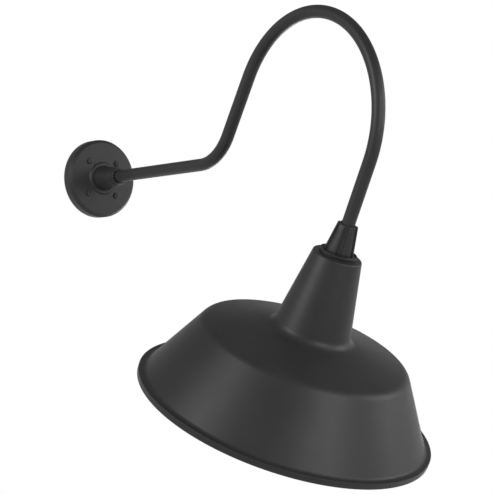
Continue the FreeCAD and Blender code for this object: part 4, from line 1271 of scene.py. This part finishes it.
def mixed(tree, value, first, second, output):
    """Show the first shader where value is 0 and the second where it is 1."""
    mix = tree.nodes.new("ShaderNodeMixShader")
    tree.links.new(value, mix.inputs["Fac"])
    tree.links.new(first.outputs[0], mix.inputs[1])
    tree.links.new(second.outputs[0], mix.inputs[2])
    tree.links.new(mix.outputs[0], tree.nodes[output].inputs["Surface"])


def make_floor(studio):
    """A pale floor far below the sconce, which is clear when it is looked at from below."""
    level = Matrix.Translation((0, 0, -studio.floor_z))
    bm = bmesh.new()
    bmesh.ops.create_grid(bm, x_segments=FLOOR_SEGMENTS, y_segments=FLOOR_SEGMENTS, matrix=level,
                          size=studio.floor_size / 2)
    mesh = bpy.data.meshes.new("floor")
    bm.to_mesh(mesh)
    bm.free()
    floor = bpy.data.objects.new("floor", mesh)
    bpy.context.collection.objects.link(floor)
    finish = Finish("studio_floor")
    finish.tone(finish.spread(finish.noise(3), 0, 1), *FLOOR_SHADES)
    finish.set(Roughness=0.85, Specular_IOR_Level=0.2, Emission_Color=(1.0, 1.0, 1.0, 1.0))
    glow = finish.node("ShaderNodeMath", operation="MULTIPLY")
    finish.tree.links.new(seen_directly(finish.tree), glow.inputs[0])
    glow.inputs[1].default_value = studio.floor_white
    finish.link(glow.outputs[0], "Emission Strength")
    underside = finish.node("ShaderNodeNewGeometry").outputs["Backfacing"]
    mixed(finish.tree, underside, finish.shader, finish.node("ShaderNodeBsdfTransparent"), "Material Output")
    mesh.materials.append(finish.material)


def make_world(scene, studio):
    """White round the horizon and grey overhead, as gloss and glass show it too, but dimmer as light."""
    world = bpy.data.worlds.new("studio")
    world.use_nodes = True
    tree = world.node_tree
    soft = tree.nodes["Background"]
    white = tree.nodes.new("ShaderNodeBackground")
    for node in (soft, white):
        node.inputs["Color"].default_value = (1.0, 1.0, 1.0, 1.0)
    soft.inputs["Strength"].default_value = studio.ambient
    place = tree.nodes.new("ShaderNodeTexCoord")
    height = tree.nodes.new("ShaderNodeSeparateXYZ")
    tree.links.new(place.outputs["Generated"], height.inputs[0])
    dim = tree.nodes.new("ShaderNodeMapRange")
    for key, value in (("From Min", studio.white_up_to), ("From Max", studio.grey_from), ("To Min", 1.0),
                       ("To Max", studio.ceiling)):
        dim.inputs[key].default_value = value
    tree.links.new(height.outputs["Z"], dim.inputs["Value"])
    tree.links.new(dim.outputs["Result"], white.inputs["Strength"])
    mixed(tree, seen_directly(tree), soft, white, "World Output")
    scene.world = world


def towards(azimuth, elevation):
    """The direction at this angle from -Y towards +X and this height above the horizon."""
    return Vector((math.sin(azimuth) * math.cos(elevation), -math.cos(azimuth) * math.cos(elevation),
                   math.sin(elevation)))


def lamp(name, studio, power, azimuth, elevation):
    """A square soft lamp that looks at the middle of the sconce."""
    low, high = CAD_BOX
    way = towards(math.radians(azimuth), math.radians(elevation))
    light = bpy.data.lights.new(name, "AREA")
    light.energy = power
    light.size = studio.lamp_size
    lamp_object = bpy.data.objects.new(name, light)
    lamp_object.location = (Vector(low) + Vector(high)) / 2 + way * studio.lamp_distance
    lamp_object.rotation_euler = (-way).to_track_quat("-Z", "Y").to_euler()
    bpy.context.collection.objects.link(lamp_object)


def make_camera(scene, studio):
    roll = studio.roll
    back = towards(studio.azimuth, studio.elevation)
    level = Vector((math.cos(studio.azimuth), math.sin(studio.azimuth), 0.0))
    upward = back.cross(level)
    right = level * math.cos(roll) + upward * math.sin(roll)
    up = upward * math.cos(roll) - level * math.sin(roll)
    data = bpy.data.cameras.new("camera")
    data.sensor_width = SENSOR_MM
    data.lens = studio.lens
    data.clip_end = FAR_CLIP
    camera = bpy.data.objects.new("camera", data)
    turned = Matrix((right, up, back)).transposed().to_4x4()
    camera.matrix_world = Matrix.Translation(studio.camera_at) @ turned
    bpy.context.collection.objects.link(camera)
    scene.camera = camera


# ---- Add-on ---------------------------------------------------------------------------------
class SCONCE_PT_panel(bpy.types.Panel):
    """The sconce's pieces, in the order in which they are made, and their settings."""
    bl_idname = "SCONCE_PT_panel"
    bl_label = "Gooseneck wall sconce"
    bl_space_type = "VIEW_3D"
    bl_region_type = "UI"
    bl_category = "Sconce"

    def draw(self, context):
        column = self.layout.column(align=True)
        for operator in OPERATORS:
            column.operator(operator.bl_idname)
        for name in Sconce.__annotations__:
            group = getattr(context.scene.sconce, name)
            box = self.layout.box()
            box.label(text=name.capitalize())
            for key in group.__annotations__:
                box.prop(group, key)


OPERATORS = (SCONCE_OT_wall_plate, SCONCE_OT_wall_screws, SCONCE_OT_arm, SCONCE_OT_hub, SCONCE_OT_collar,
             SCONCE_OT_shade, SCONCE_OT_lampholder, SCONCE_OT_clamp, SCONCE_OT_wiring, SCONCE_OT_stage)
SETTINGS = (ArmSizes, PlateSizes, HubSizes, CollarSizes, ShadeSizes, HolderSizes, WiringSizes, Finishes,
            Studio, Sconce)


def register():
    for item in (*SETTINGS, *OPERATORS, SCONCE_PT_panel):
        bpy.utils.register_class(item)
    bpy.types.Scene.sconce = PointerProperty(type=Sconce)


def unregister():
    del bpy.types.Scene.sconce
    for item in reversed((*SETTINGS, *OPERATORS, SCONCE_PT_panel)):
        bpy.utils.unregister_class(item)


def main():
    register()
    for operator in OPERATORS:
        group, name = operator.bl_idname.split(".")
        getattr(getattr(bpy.ops, group), name)()


if __name__ == "__main__":
    main()
